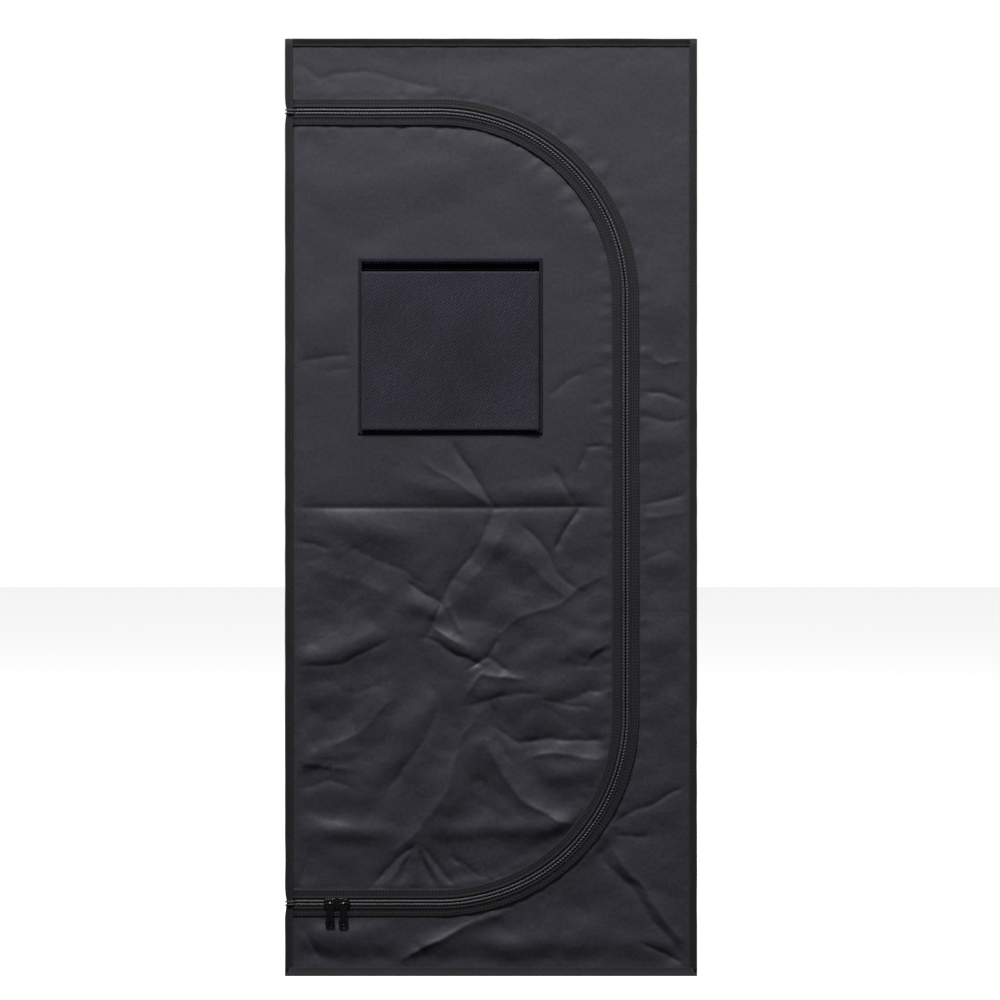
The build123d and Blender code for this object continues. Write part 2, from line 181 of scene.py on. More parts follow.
def shade_smooth(piece):
    """Shades every face of a piece smooth."""
    piece.data.polygons.foreach_set("use_smooth", [True] * len(piece.data.polygons))


floor_mesh = bmesh.new()
bmesh.ops.create_grid(floor_mesh, x_segments=1, y_segments=1, size=FLOOR_HALF)
floor = finished(floor_mesh, "studio_floor")
print(f"floor: {2 * FLOOR_HALF:.0f} m square")

# %% Lights


def soft_box(name, place, aim, size, watts):
    """A square area light that looks at a point."""
    light_data = bpy.data.lights.new(name, "AREA")
    light_data.shape = "SQUARE"
    light_data.size = size
    light_data.energy = watts
    light = bpy.data.objects.new(name, light_data)
    light.location = place
    light.rotation_euler = (Vector(aim) - Vector(place)).to_track_quat("-Z", "Y").to_euler()
    bpy.context.collection.objects.link(light)
    print(f"{name}: {watts:.0f} W, {size:.1f} m square")


soft_box("key_light", (-0.75, -3.0, 6.0), (0.0, FRONT, 1.1), 1.2, 424.0)
soft_box("fill_light", (2.2, -2.6, 2.6), (0.2, FRONT, 1.3), 1.4, 12.0)
soft_box("back_light", (1.8, 3.4, 3.0), (0.0, BACK, 1.0), 2.2, 90.0)

# %% [markdown]
# ## Colours and node helpers
#
# Colours are written as sRGB hex values, as a designer would pick them, and one function
# turns them into the linear values that shaders use. One small function adds a node.

# %% Colour and node helpers


def linear(hex_value):
    """An sRGB hex colour as linear red, green, blue, alpha."""
    channels = [int(hex_value[i : i + 2], 16) / 255 for i in (0, 2, 4)]
    return (*(c / 12.92 if c <= 0.04045 else ((c + 0.055) / 1.055) ** 2.4 for c in channels), 1.0)


def add_node(tree, kind, settings=None, **inputs):
    """Adds a node, sets its properties, then sets or links its inputs by name.

    An input given as a (node, output name) pair is linked. A digit name is an index."""
    node = tree.nodes.new(kind)
    for key, value in (settings or {}).items():
        setattr(node, key, value)
    for key, value in inputs.items():
        name = key.replace("_", " ")
        socket = node.inputs[int(key[1:])] if key[0] == "i" and key[1:].isdigit() else node.inputs[name]
        if isinstance(value, tuple) and len(value) == 2 and hasattr(value[0], "outputs"):
            tree.links.new(value[0].outputs[value[1]], socket)
        else:
            socket.default_value = value
    return node


def new_material(name, **values):
    """A material with a Principled shader whose plain values are set on its own sockets."""
    material = bpy.data.materials.new(name)
    material.use_nodes = True
    tree = material.node_tree
    shader = tree.nodes["Principled BSDF"]
    for key, value in values.items():
        shader.inputs[key.replace("_", " ")].default_value = value
    return material, tree, shader


def link(tree, node, output, shader, socket):
    """Joins a node's output to a shader's socket."""
    tree.links.new(node.outputs[output], shader.inputs[socket])


# %% [markdown]
# ## White surroundings
#
# Dark cloth shows every reflection, so a white room would turn it grey. A Light Path node
# tells the camera's own rays from the rest: the camera sees white paper and a white sky,
# and the cloth and the glossy sliders see hardly any light from them.

# %% World and floor material
scene = bpy.context.scene
scene.view_settings.view_transform = "Standard"
world = bpy.data.worlds.new("studio")
scene.world = world
world.use_nodes = True
sky = world.node_tree
background = sky.nodes["Background"]
background.inputs["Color"].default_value = linear("ffffff")
background.inputs["Strength"].default_value = 0.10
seen = add_node(sky, "ShaderNodeBackground", Color=linear("ffffff"), Strength=1.0)
ray = add_node(sky, "ShaderNodeLightPath")
mixed = add_node(sky, "ShaderNodeMixShader", i0=(ray, "Is Camera Ray"), i1=(background, "Background"))
sky.links.new(seen.outputs["Background"], mixed.inputs[2])
sky.links.new(mixed.outputs["Shader"], sky.nodes["World Output"].inputs["Surface"])

# Studio paper, white to the eye and lit from below. It sends little light back to the cloth
floor_paint, floor_tree, floor_shader = new_material("white_studio_paper", Roughness=0.9)
eye = add_node(floor_tree, "ShaderNodeLightPath")
paper = add_node(
    floor_tree,
    "ShaderNodeMix",
    {"data_type": "RGBA"},
    i0=(eye, "Is Camera Ray"),
    i6=linear("262626"),
    i7=linear("f4f4f4"),
)
floor_tree.links.new(paper.outputs[2], floor_shader.inputs["Base Color"])
glow = add_node(floor_tree, "ShaderNodeMath", {"operation": "MULTIPLY"}, i0=(eye, "Is Camera Ray"), i1=0.8)
floor_shader.inputs["Emission Color"].default_value = linear("ffffff")
link(floor_tree, glow, "Value", floor_shader, "Emission Strength")
floor.data.materials.append(floor_paint)
print("floor material:", floor_paint.name)

# %% [markdown]
# ## Oxford cloth
#
# The cover is Oxford cloth, a coarse basket weave of polyester yarn with a matt coating.
# Two sets of sine bands, one along the warp and one along the weft, make the basket weave
# as a bump. The real yarn is about 0.6 mm; the weave is drawn at 2.4 mm so that it shows.
# Slow noise gives the uneven fade of handled cloth. The pattern reads the UV map, which
# every cloth piece carries in metres of flat cloth, so it goes round creases with it.

# %% Cloth materials
OXFORD_YARN = 2.4 * MM
TWILL_WALE = 4.6 * MM
TAPE_YARN = 1.5 * MM
FADE_PATCH = 140.0 * MM
CRINKLE = 48.0 * MM
# The crinkles of the front fade between these two heights
SMOOTH_FROM = 850.0 * MM
SMOOTH_ABOVE = 1150.0 * MM


def weave_height(tree, coordinates, yarn):
    """A basket weave: warp and weft bands that pass over each other in turn."""
    turns = 2 * math.pi / (2 * yarn)
    split = add_node(tree, "ShaderNodeSeparateXYZ", Vector=(coordinates, "UV"))
    along = add_node(tree, "ShaderNodeMath", {"operation": "MULTIPLY"}, i0=(split, "X"), i1=turns)
    across = add_node(tree, "ShaderNodeMath", {"operation": "MULTIPLY"}, i0=(split, "Y"), i1=turns)
    warp = add_node(tree, "ShaderNodeMath", {"operation": "SINE"}, i0=(along, "Value"))
    weft = add_node(tree, "ShaderNodeMath", {"operation": "SINE"}, i0=(across, "Value"))
    return add_node(tree, "ShaderNodeMath", {"operation": "MULTIPLY"}, i0=(warp, "Value"), i1=(weft, "Value"))


def mottled(tree, coordinates, output, patch, dark, light):
    """Two close colours mixed by slow noise."""
    patches = add_node(
        tree, "ShaderNodeTexNoise", Vector=(coordinates, output), Scale=1 / patch, Detail=4.0
    )
    ramp = add_node(tree, "ShaderNodeValToRGB", Fac=(patches, "Fac"))
    ramp.color_ramp.elements[0].position = 0.3
    ramp.color_ramp.elements[0].color = linear(dark)
    ramp.color_ramp.elements[1].position = 0.7
    ramp.color_ramp.elements[1].color = linear(light)
    return ramp


def crinkles(tree, coordinates, size):
    """Small soft unevenness of handled cloth.

    It fades out towards the top of the front, where the cloth hangs smooth."""
    uneven = add_node(
        tree,
        "ShaderNodeTexNoise",
        Vector=(coordinates, "UV"),
        Scale=1 / size,
        Detail=2.5,
        Roughness=0.6,
        Distortion=0.3,
    )
    split = add_node(tree, "ShaderNodeSeparateXYZ", Vector=(coordinates, "UV"))
    low = add_node(
        tree,
        "ShaderNodeMapRange",
        Value=(split, "Y"),
        From_Min=SMOOTH_FROM,
        From_Max=SMOOTH_ABOVE,
        To_Min=1.0,
        To_Max=0.35,
    )
    return add_node(tree, "ShaderNodeMath", {"operation": "MULTIPLY"}, i0=(uneven, "Fac"), i1=(low, "Result"))


def shade_colour(tree, colour, shade, shader):
    """Multiplies a colour by a shade and makes it the shader's base colour."""
    tinted = add_node(
        tree,
        "ShaderNodeMix",
        {"data_type": "RGBA", "blend_type": "MULTIPLY"},
        i0=1.0,
        i6=(colour, "Color"),
        i7=(shade, "Result"),
    )
    tree.links.new(tinted.outputs[2], shader.inputs["Base Color"])


def woven(name, dark, light, yarn, depth, roughness, sheen, specular=0.25, crumple=0.0):
    """A plain woven cloth or tape: mottled colour, speckled yarn and a basket weave bump."""
    material, tree, shader = new_material(
        name, Roughness=roughness, Sheen_Weight=sheen, Sheen_Roughness=0.5, Specular_IOR_Level=specular
    )
    coordinates = add_node(tree, "ShaderNodeTexCoord")
    colour = mottled(tree, coordinates, "UV", FADE_PATCH, dark, light)
    speckle = add_node(tree, "ShaderNodeTexNoise", Vector=(coordinates, "UV"), Scale=0.35 / yarn, Detail=2.0)
    shade = add_node(
        tree,
        "ShaderNodeMapRange",
        Value=(speckle, "Fac"),
        From_Min=0.3,
        From_Max=0.7,
        To_Min=0.82,
        To_Max=1.18,
    )
    shade_colour(tree, colour, shade, shader)
    weave = weave_height(tree, coordinates, yarn)
    bump = add_node(tree, "ShaderNodeBump", Height=(weave, "Value"), Strength=0.5, Distance=depth)
    if crumple:
        uneven = crinkles(tree, coordinates, CRINKLE)
        crinkle = add_node(tree, "ShaderNodeBump", Height=(uneven, "Value"), Distance=crumple)
        tree.links.new(crinkle.outputs["Normal"], bump.inputs["Normal"])
    link(tree, bump, "Normal", shader, "Normal")
    return material


# Oxford cloth, woven and coated: dull, even, with a faint grain
oxford_cloth = woven(
    "coated_oxford_cloth", "35343c", "393841", OXFORD_YARN, 0.10 * MM, 0.50, 0.0, 0.45, 2.2 * MM
)
# Seam binding, folded woven polyester: darker and tighter than the cloth
binding_tape = woven("folded_seam_binding", "1f1f22", "262629", TAPE_YARN, 0.10 * MM, 0.82, 0.10)
# Zip tape, herringbone woven polyester: dark, flat, slightly smoother
zip_webbing = woven("woven_zip_tape", "1d1d20", "232327", TAPE_YARN, 0.10 * MM, 0.78, 0.08)
# Hook-and-loop band: black pile that swallows light
loop_band = woven("black_loop_band", "010103", "030306", TAPE_YARN, 0.10 * MM, 1.0, 0.0, 0.0)
# Sewing thread, twisted polyester: a little lighter and shinier than the tape
thread = woven("twisted_thread", "3c3c40", "48484d", 0.6 * MM, 0.05 * MM, 0.6, 0.1)


def twill(name, dark, light, wale, depth):
    """A twill weave: ribs that climb to the right, each broken into yarn floats."""
    material, tree, shader = new_material(
        name, Roughness=0.9, Sheen_Weight=0.1, Sheen_Roughness=0.5, Specular_IOR_Level=0.25
    )
    coordinates = add_node(tree, "ShaderNodeTexCoord")
    turned = add_node(tree, "ShaderNodeMapping", Vector=(coordinates, "UV"))
    turned.inputs["Rotation"].default_value = (0.0, 0.0, math.radians(-52))
    ribs = add_node(
        tree,
        "ShaderNodeTexWave",
        {"wave_type": "BANDS", "bands_direction": "Y"},
        Vector=(turned, "Vector"),
        Scale=math.tau / 20 / wale,
        Distortion=2.6,
        Detail=2.0,
        Detail_Scale=3.0,
    )
    colour = mottled(tree, coordinates, "UV", FADE_PATCH, dark, light)
    floats = add_node(tree, "ShaderNodeTexNoise", Vector=(coordinates, "UV"), Scale=0.45 / MM, Detail=2.0)
    broken = add_node(tree, "ShaderNodeMath", {"operation": "MULTIPLY"}, i0=(ribs, "Fac"), i1=(floats, "Fac"))
    shade = add_node(
        tree, "ShaderNodeMapRange", Value=(broken, "Value"), From_Max=0.6, To_Min=0.25, To_Max=2.5
    )
    shade_colour(tree, colour, shade, shader)
    bump = add_node(tree, "ShaderNodeBump", Height=(ribs, "Fac"), Strength=0.6, Distance=depth)
    link(tree, bump, "Normal", shader, "Normal")
    return material


# Twill cloth of the window flap and its frame: matt, with steep diagonal ribs
flap_twill = twill("twill_cloth", "24232c", "2d2c37", TWILL_WALE, 0.5 * MM)
# The same twill, doubled round the window as a frame. Its darker colour is painted shade, standing for the
# shadow that the flap casts round it
painted_shade_twill = twill("twill_tape_with_painted_shade", "13121e", "191827", TWILL_WALE, 0.5 * MM)
print("cloths:", oxford_cloth.name, binding_tape.name, zip_webbing.name, loop_band.name, flap_twill.name)

# %% [markdown]
# ## Film, plastic and metal
#
# The cabin is lined with a thin silver coated film that keeps the heat in. The window is
# clear soft vinyl. The zip coil is moulded nylon, the sliders are zinc castings under
# glossy black enamel, and the frame is grey plastic pipe in black ABS connectors.

# %% Film, plastic and metal materials


def moulded(name, colour_dark, colour_light, roughness, grain, depth, **values):
    """A moulded or painted surface: faint colour change, uneven gloss and a fine grain."""
    material, tree, shader = new_material(name, **values)
    coordinates = add_node(tree, "ShaderNodeTexCoord")
    colour = mottled(tree, coordinates, "Object", 60 * MM, colour_dark, colour_light)
    link(tree, colour, "Color", shader, "Base Color")
    smudge = add_node(
        tree, "ShaderNodeTexNoise", Vector=(coordinates, "Object"), Scale=1 / (30 * MM), Detail=5.0
    )
    gloss = add_node(
        tree, "ShaderNodeMapRange", Value=(smudge, "Fac"), To_Min=roughness * 0.8, To_Max=roughness * 1.25
    )
    link(tree, gloss, "Result", shader, "Roughness")
    fine = add_node(tree, "ShaderNodeTexNoise", Vector=(coordinates, "Object"), Scale=1 / grain, Detail=2.0)
    bump = add_node(tree, "ShaderNodeBump", Height=(fine, "Fac"), Strength=0.3, Distance=depth)
    link(tree, bump, "Normal", shader, "Normal")
    return material


# Nylon coil, moulded: satin, slightly lighter than the tape where it catches light
nylon_coil = moulded("nylon_zip_coil", "3b3b3f", "454549", 0.4, 2 * MM, 0.03 * MM, IOR=1.53)
# Zinc casting under black enamel: deep black with sharp glints
black_enamel = moulded("black_enamelled_zinc", "060607", "0b0b0c", 0.16, 3 * MM, 0.02 * MM, Coat_Weight=0.6)
# Silver coated film: soft metallic sheen, finely crumpled
silver_film = moulded("silver_coated_film", "9b9da1", "adafb3", 0.42, 9 * MM, 0.5 * MM, Metallic=0.55)
# PVC pipe: even light grey, satin
grey_pipe = moulded("grey_pvc_pipe", "b4b4b1", "bebebb", 0.4, 4 * MM, 0.02 * MM, IOR=1.53)
# ABS connectors and port: black with a sparked mould texture
black_abs = moulded("black_abs", "131315", "19191b", 0.5, 1 * MM, 0.05 * MM, IOR=1.53)
# Clear soft vinyl: glossy, very slightly blue, not quite flat
clear_vinyl = moulded(
    "clear_soft_vinyl", "dfe6e8", "e6ecee", 0.08, 40 * MM, 0.6 * MM, IOR=1.53, Transmission_Weight=0.9
)

for node_name, node_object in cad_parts.items():
    kind = black_abs if "connector" in node_name or "coupler" in node_name or "port" in node_name else None
    if "_tube_" in node_name or "_upright_" in node_name:
        kind = grey_pipe
    if kind:
        for material_slot in node_object.material_slots:
            material_slot.material = kind
        print(node_name, "is", kind.name)

# %% [markdown]
# ## How the cloth is creased
#
# The cover was folded to fit a carton, so it carries sharp fold lines that meet in little
# knots, and soft folds where it hangs. A height above the flat wall is worked out for each
# point of the cloth: every crease is a short line of listed points, with a depth and a width,
# and it is deepest on its line and dies away beside it. Slow stretched noise adds the soft
# folds. Light from above makes a valley dark over its line and light below.

# %% Creases
# Blender starts noise_vector from the clock, so it is seeded to give the same cloth each run
NOISE_SEED = 1795051531
noise.seed_set(NOISE_SEED)


def along_line(x, z, points):
    """Distance from (x, z) to a line of points, and how far along it the nearest point is."""
    best, place, done = 1e9, 0.0, 0.0
    spans = list(zip(points, points[1:]))
    total = sum(math.dist(a, b) for a, b in spans)
    for a, b in spans:
        length = math.dist(a, b)
        share = ((x - a[0]) * (b[0] - a[0]) + (z - a[1]) * (b[1] - a[1])) / length**2
        share = min(1.0, max(0.0, share))
        gap = math.hypot(x - a[0] - share * (b[0] - a[0]), z - a[1] - share * (b[1] - a[1]))
        if gap < best:
            best, place = gap, (done + share * length) / total
        done += length
    return best, place


def smooth(value, low, high):
    """Rises from 0 at low to 1 at high, level at both ends."""
    share = min(1.0, max(0.0, (value - low) / (high - low)))
    return share * share * (3 - 2 * share)


def crease_height(x, z, creases):
    """Height in millimetres that the creases give at a point, also in millimetres."""
    height = 0.0
    for depth, width, *points in creases:
        margin = 4 * width
        if not min(p[0] for p in points) - margin < x < max(p[0] for p in points) + margin:
            continue
        if not min(p[1] for p in points) - margin < z < max(p[1] for p in points) + margin:
            continue
        gap, place = along_line(x, z, points)
        taper = smooth(place, -0.05, 0.15) * smooth(1 - place, -0.05, 0.15)
        reach = math.sqrt(gap * gap + 3.0)
        shape = 0.5 * math.exp(-reach / width) + 0.5 * math.exp(-reach / (0.42 * width))
        height -= depth * (0.35 + 0.65 * taper) * shape
    return height


def soft_folds(x, z, turn, length, width, seed):
    """Noise drawn out along a direction, from -1 to 1: the soft folds of hanging cloth."""
    c, s = math.cos(turn), math.sin(turn)
    u, v = (c * x + s * z) / length, (-s * x + c * z) / width
    return noise.noise(Vector((u, v, seed))) + 0.5 * noise.noise(Vector((2 * u, 2 * v, seed + 7)))


# %% Folds of the front
# Depth, width, then points, in millimetres. A negative depth stands out of the wall.
FRONT_CREASES = [
    (3.1, 12, (-389, 905), (-186, 905), (6, 905), (172, 907), (234, 905)),
    (3.4, 9, (-76, 1042), (-41, 982), (6, 905)),
    (-1.6, 10, (-128, 994), (-60, 949), (-2, 910)),
    (3.0, 9, (6, 901), (-25, 833), (-70, 765), (-103, 723)),
    (-1.3, 16, (33, 881), (-2, 804), (-52, 742)),
    (2.4, 8, (184, 1013), (165, 978), (172, 907)),
    (2.6, 9, (122, 982), (161, 914)),
    (4.2, 8, (172, 905), (147, 862), (126, 825)),
    (2.6, 10, (56, 874), (105, 823), (130, 781), (174, 742)),
    (-1.5, 14, (76, 804), (110, 765), (153, 727)),
    (-1.8, 14, (227, 781), (172, 746), (137, 723), (56, 688), (2, 645)),
    (1.8, 9, (186, 1023), (234, 1025)),
    (2.8, 9, (-161, 759), (-99, 723)),
    (3.2, 8, (-99, 723), (-128, 653)),
    (-2.6, 10, (-87, 723), (-56, 661)),
    (2.8, 9, (-130, 651), (-99, 645), (-70, 626), (-14, 599)),
    (-2.6, 9, (-114, 669), (-56, 643)),
    (3.0, 8, (14, 653), (-8, 614), (-45, 595)),
    (2.6, 8, (-8, 616), (31, 589)),
    (-3.0, 9, (-48, 545), (-14, 583), (60, 570)),
    (2.4, 14, (-41, 529), (17, 539), (95, 545)),
    (1.5, 9, (180, 595), (203, 622), (234, 640)),
    (-2.6, 9, (188, 618), (234, 649)),
    (2.4, 8, (-2, 523), (14, 460), (41, 417)),
    (2.0, 9, (105, 533), (196, 521)),
    (3.0, 8, (-145, 251), (-188, 212), (-234, 167)),
    (-2.4, 8, (-149, 239), (-207, 167)),
    (2.8, 7, (-149, 243), (-180, 164)),
    (-2.4, 8, (-141, 239), (-149, 164)),
    (3.0, 7, (-137, 243), (-110, 162)),
    (-2.6, 8, (-130, 243), (-87, 162)),
    (3.2, 8, (-126, 247), (-91, 200), (-64, 158)),
    (2.2, 8, (-76, 227), (-21, 196), (25, 181)),
    (2.0, 10, (-350, 231), (-378, 165)),
    (-5.4, 17, (-168, 28), (-103, 65), (-41, 96), (33, 129)),
    (2.4, 10, (-370, 98), (-335, 34)),
    (0.7, 9, (-389, 1756), (-374, 1766), (-331, 1733), (-302, 1748), (-244, 1754), (-186, 1737), (-99, 1710)),
    (2.6, 7, (223, 285), (288, 324), (379, 367)),
    (2.9, 13, (196, 262), (231, 214), (271, 167), (325, 96), (378, 34)),
    (-3.4, 15, (234, 243), (308, 146), (378, 53)),
    (3.2, 7, (288, 61), (335, 42), (374, 24)),
    (2.2, 8, (246, 266), (300, 270)),
    (2.2, 13, (288, 910), (337, 920), (381, 932)),
    (-4.2, 20, (-2, 452), (25, 388), (68, 332), (134, 297), (215, 297)),
    (3.6, 18, (2, 479), (56, 456), (134, 456), (223, 460)),
    (-2.4, 12, (76, 427), (153, 425), (223, 413)),
    (-1.7, 15, (-370, 405), (-312, 402), (-265, 394)),
    (-3.4, 24, (-29, 510), (-56, 446), (-87, 359), (-137, 282), (-184, 239)),
    (2.4, 14, (-10, 446), (-25, 388), (-10, 340)),
    (2.8, 22, (-99, 523), (-128, 456), (-176, 398), (-205, 340)),
    (-3.0, 26, (-192, 533), (-254, 475), (-312, 446)),
    (2.6, 18, (-370, 359), (-312, 374), (-261, 359)),
    (1.4, 16, (-283, 833), (-215, 804), (-130, 758)),
    (-1.2, 26, (-350, 792), (-283, 775), (-176, 727)),
    (2.4, 16, (-378, 595), (-292, 607), (-192, 649)),
    (2.0, 12, (-378, 843), (-312, 827)),
    (2.4, 14, (134, 533), (192, 552), (234, 552)),
    (-1.3, 14, (288, 883), (337, 889), (385, 897)),
    (2.3, 9, (294, 1131), (331, 1127), (385, 1110)),
    (-1.5, 10, (298, 1206), (331, 1183), (374, 1191)),
    (1.6, 9, (298, 1087), (335, 1073), (381, 1079)),
    (-1.0, 16, (343, 1307), (350, 1239), (374, 1199)),
    (1.5, 16, (-370, 1187), (-321, 1201), (-269, 1203)),
    (1.5, 13, (110, 1121), (143, 1141), (180, 1162)),
    (1.0, 12, (288, 800), (343, 819), (387, 804)),
    (0.8, 10, (196, 1179), (236, 1189)),
    (0.8, 10, (196, 1106), (236, 1114)),
    (0.8, 10, (-321, 1168), (-261, 1176)),
]
# Where the cloth swells between its folds: height, middle (two numbers), half length,
# half width, all in millimetres, and how many degrees its long way climbs to the right.
FRONT_SWELLS = [
    (4.6, -262, 280, 85, 19, -6),
    (5.4, 48, 283, 140, 18, 2),
    (5, 0, 61, 420, 24, 0),
    (4.5, -70, 359, 130, 36, 60),
    (3.0, 128, 297, 95, 26, -6),
    (6, 168, 396, 70, 24, 6),
    (6, 56, 552, 85, 30, 4),
    (5, -327, 423, 80, 24, 8),
    (8, -292, 626, 115, 32, 16),
    (5, -230, 862, 95, 28, -12),
    (6, 33, 827, 60, 26, -20),
    (5, 134, 626, 90, 28, 14),
    (4, -128, 709, 40, 16, -22),
    (4.5, -70, 638, 48, 16, -24),
    (4, -176, 417, 120, 40, 42),
    (5, -312, 278, 70, 26, 10),
    (3.5, -79, 939, 90, 20, -8),
    (3.5, 114, 936, 80, 20, 0),
    (4, -370, 533, 60, 26, 20),
    (5, -137, 504, 90, 30, 40),
    (4, 211, 533, 50, 26, 30),
    (4, -292, 88, 110, 24, 6),
    (5, 134, 78, 120, 30, 12),
    (4, 337, 1307, 60, 60, 0),
    (3, 337, 1036, 50, 26, -6),
    (4, 327, 804, 50, 30, 0),
    (4, 337, 649, 50, 36, 6),
    (3, -176, 1539, 200, 60, 10),
    (3, 134, 1501, 120, 50, -50),
    (3, -331, 1268, 60, 50, 20),
]
CREASE_DEPTH = 1.6
print(len(FRONT_CREASES), "creases and", len(FRONT_SWELLS), "swells")

# %% [markdown]
# ## Height of the front
#
# The creases above are too straight to be cloth, so each point looks them up a little to
# one side, pushed by noise. The swells lift the cloth between them, and two kinds of
# ridged noise crumple the lower half, where folded cloth is creased the most.

# %% Height of the front


def crumpled(x, z, size, seed):
    """Ridged noise from 0 to about 1: sharp folds that meet, with smooth cloth between."""
    bend = 0.35 * noise.noise(Vector((x / size / 1.7, z / size / 1.7, seed + 31)))
    first = abs(noise.noise(Vector((x / size + bend, z / size - bend, seed))))
    second = abs(noise.noise(Vector((2.1 * x / size, 2.1 * z / size, seed + 13))))
    return 1 - math.sqrt(first * first + 0.0006) * 1.6 - 0.55 * math.sqrt(second * second + 0.0012)


def creased(x, z, size, width, seed):
    """Sharp lines between patches of cloth, shown only here and there, from 0 to 1."""
    bend = noise.noise_vector(Vector((x / size / 1.5, z / size / 1.5, seed))) * 0.4
    distances, _ = noise.voronoi(Vector((x / size, z / size, seed)) + bend)
    shown = smooth(noise.noise(Vector((x / size / 1.4, z / size / 1.4, seed + 9))), -0.05, 0.3)
    return shown * math.exp(-(distances[1] - distances[0]) * size / width)


def front_height(x, z):
    """Height of the front's cloth above its flat face, in metres."""
    x_mm, z_mm = x / MM, z / MM
    bend = noise.noise_vector(Vector((x_mm / 70, z_mm / 70, 1.5))) * 9
    bend += noise.noise_vector(Vector((x_mm / 24, z_mm / 24, 4.5))) * 2.5
    bend *= smooth(abs(z_mm - 905), 6, 60)
    height = CREASE_DEPTH * crease_height(x_mm + bend.x, z_mm + bend.y, FRONT_CREASES)
    for rise, middle_x, middle_z, half_length, half_width, climb in FRONT_SWELLS:
        c, s = math.cos(math.radians(climb)), math.sin(math.radians(climb))
        u = (c * (x_mm - middle_x) + s * (z_mm - middle_z)) / half_length
        v = (c * (z_mm - middle_z) - s * (x_mm - middle_x)) / half_width
        if abs(u) < 2.4 and abs(v) < 2.4:
            height += rise * math.exp(-(u**4) - v * v)
    lower_half = smooth(880 - z_mm, 0, 120) * (1 - 0.55 * smooth(x_mm, 190, 290))
    height += 2.2 * lower_half * soft_folds(x_mm, z_mm, math.radians(38), 240, 70, 19.0)
    height += 1.6 * soft_folds(x_mm, z_mm, math.radians(8), 420, 180, 27.0)
    height -= (4.2 * lower_half + 1.1) * crumpled(x_mm + 0.45 * z_mm, z_mm - 0.45 * x_mm, 140, 5.0)
    height -= 1.8 * lower_half * creased(x_mm, z_mm, 150, 9, 51.0)
    return height * MM


SEWN_FLAT = 34.0 * MM


def seam_fade(*distances):
    """Cloth lies flat where it is sewn: 0 on a seam, 1 well away from all of them."""
    fade = 1.0
    for distance in distances:
        fade *= smooth(distance, 0.0, SEWN_FLAT)
    return fade


print(f"height at the middle of the door: {front_height(0.0, TOP / 2) / MM:.1f} mm")

# %% [markdown]
# ## Cloth sheets
#
# Each panel starts as a grid. Rows of vertices close to a cut line are pulled onto it, the
# faces past it are deleted, and a UV map records the flat cloth before the creases move
# it. A Solidify modifier then gives the padded cloth its thickness, to the inside.

# %% Cloth sheet builder


def sheet_grid(width, height, spacing):
    """A flat grid of about this spacing, centred on the origin, in the XZ plane facing -Y."""
    builder = bmesh.new()
    columns, rows = round(width / spacing), round(height / spacing)
    bmesh.ops.create_grid(builder, x_segments=columns, y_segments=rows, size=0.5)
    bmesh.ops.scale(builder, vec=(width, height, 1.0), verts=builder.verts)
    bmesh.ops.rotate(builder, matrix=Matrix.Rotation(math.pi / 2, 3, "X"), verts=builder.verts)
    return builder


def record_flat(builder):
    """Writes the flat cloth's own X and Z as its UV map, in metres."""
    flat = builder.loops.layers.uv.new("flat")
    for face in builder.faces:
        for loop in face.loops:
            loop[flat].uv = (loop.vert.co.x, loop.vert.co.z)


def move_onto(vert, gap):
    """Moves a vertex this far towards the zip's centre line."""
    x, z, step = vert.co.x, vert.co.z, 0.1 * MM
    slope_x = (zip_offset(x + step, z) - zip_offset(x - step, z)) / (2 * step)
    slope_z = (zip_offset(x, z + step) - zip_offset(x, z - step)) / (2 * step)
    vert.co.x -= gap * slope_x
    vert.co.z -= gap * slope_z


def cut_to_zip(builder, offset, keep_inside, spacing):
    """Deletes the cloth past the cut and pulls the vertices beside it onto it."""
    for vert in builder.verts:
        gap = zip_offset(vert.co.x, vert.co.z) - offset
        if abs(gap) < 0.6 * spacing:
            move_onto(vert, gap)
    wrong = []
    for face in builder.faces:
        centre = face.calc_center_median()
        outside = zip_offset(centre.x, centre.z) > offset
        if outside == keep_inside:
            wrong.append(face)
    bmesh.ops.delete(builder, geom=wrong, context="FACES")
    for vert in builder.verts:
        gap = zip_offset(vert.co.x, vert.co.z) - offset
        if vert.is_boundary and vert.co.x > ARC_X and abs(gap) < 1.6 * spacing:
            move_onto(vert, gap)


def cut_rectangle(builder, low, high):
    """Cuts a rectangular hole between two corners."""
    for place, normal in ((low, (1, 0, 0)), (high, (1, 0, 0)), (low, (0, 0, 1)), (high, (0, 0, 1))):
        everything = [*builder.verts, *builder.edges, *builder.faces]
        bmesh.ops.bisect_plane(builder, geom=everything, dist=1e-5, plane_co=place, plane_no=normal)
    inside = []
    for face in builder.faces:
        centre = face.calc_center_median()
        if low.x < centre.x < high.x and low.z < centre.z < high.z:
            inside.append(face)
    bmesh.ops.delete(builder, geom=inside, context="FACES")


def padded_cloth(piece, thickness):
    """Gives a sheet its thickness, inwards, and smooth shading."""
    solid = piece.modifiers.new("padding", "SOLIDIFY")
    solid.thickness = thickness
    solid.offset = -1.0
    shade_smooth(piece)


# %% [markdown]
# ## Front wall and door
#
# The front wall is a C of cloth round the door, and the door is a D that fills it. Both
# share one height function, so a fold that starts on the door goes on across the zip.

# %% Front wall and door panel
FRONT_SPACING = 5.6 * MM
WINDOW_HOLE = 20.0 * MM
# Depths in millimetres: of the stitched seam, and of the ripples beside the zip and the edges
SEAM_PUCKER = 1.6
ZIP_RIPPLE = 2.8
EDGE_RIPPLE = 1.4
FILM_SLACK = 4.5 * MM
FILM_GAP = 4.0 * MM
FILM_SPACING = 1.8 * FRONT_SPACING
FILM_THICKNESS = 0.5 * MM
CLOTH_THICKNESS = CLOTH - 0.2 * MM
FILM_BEHIND = CLOTH + 0.1 * MM
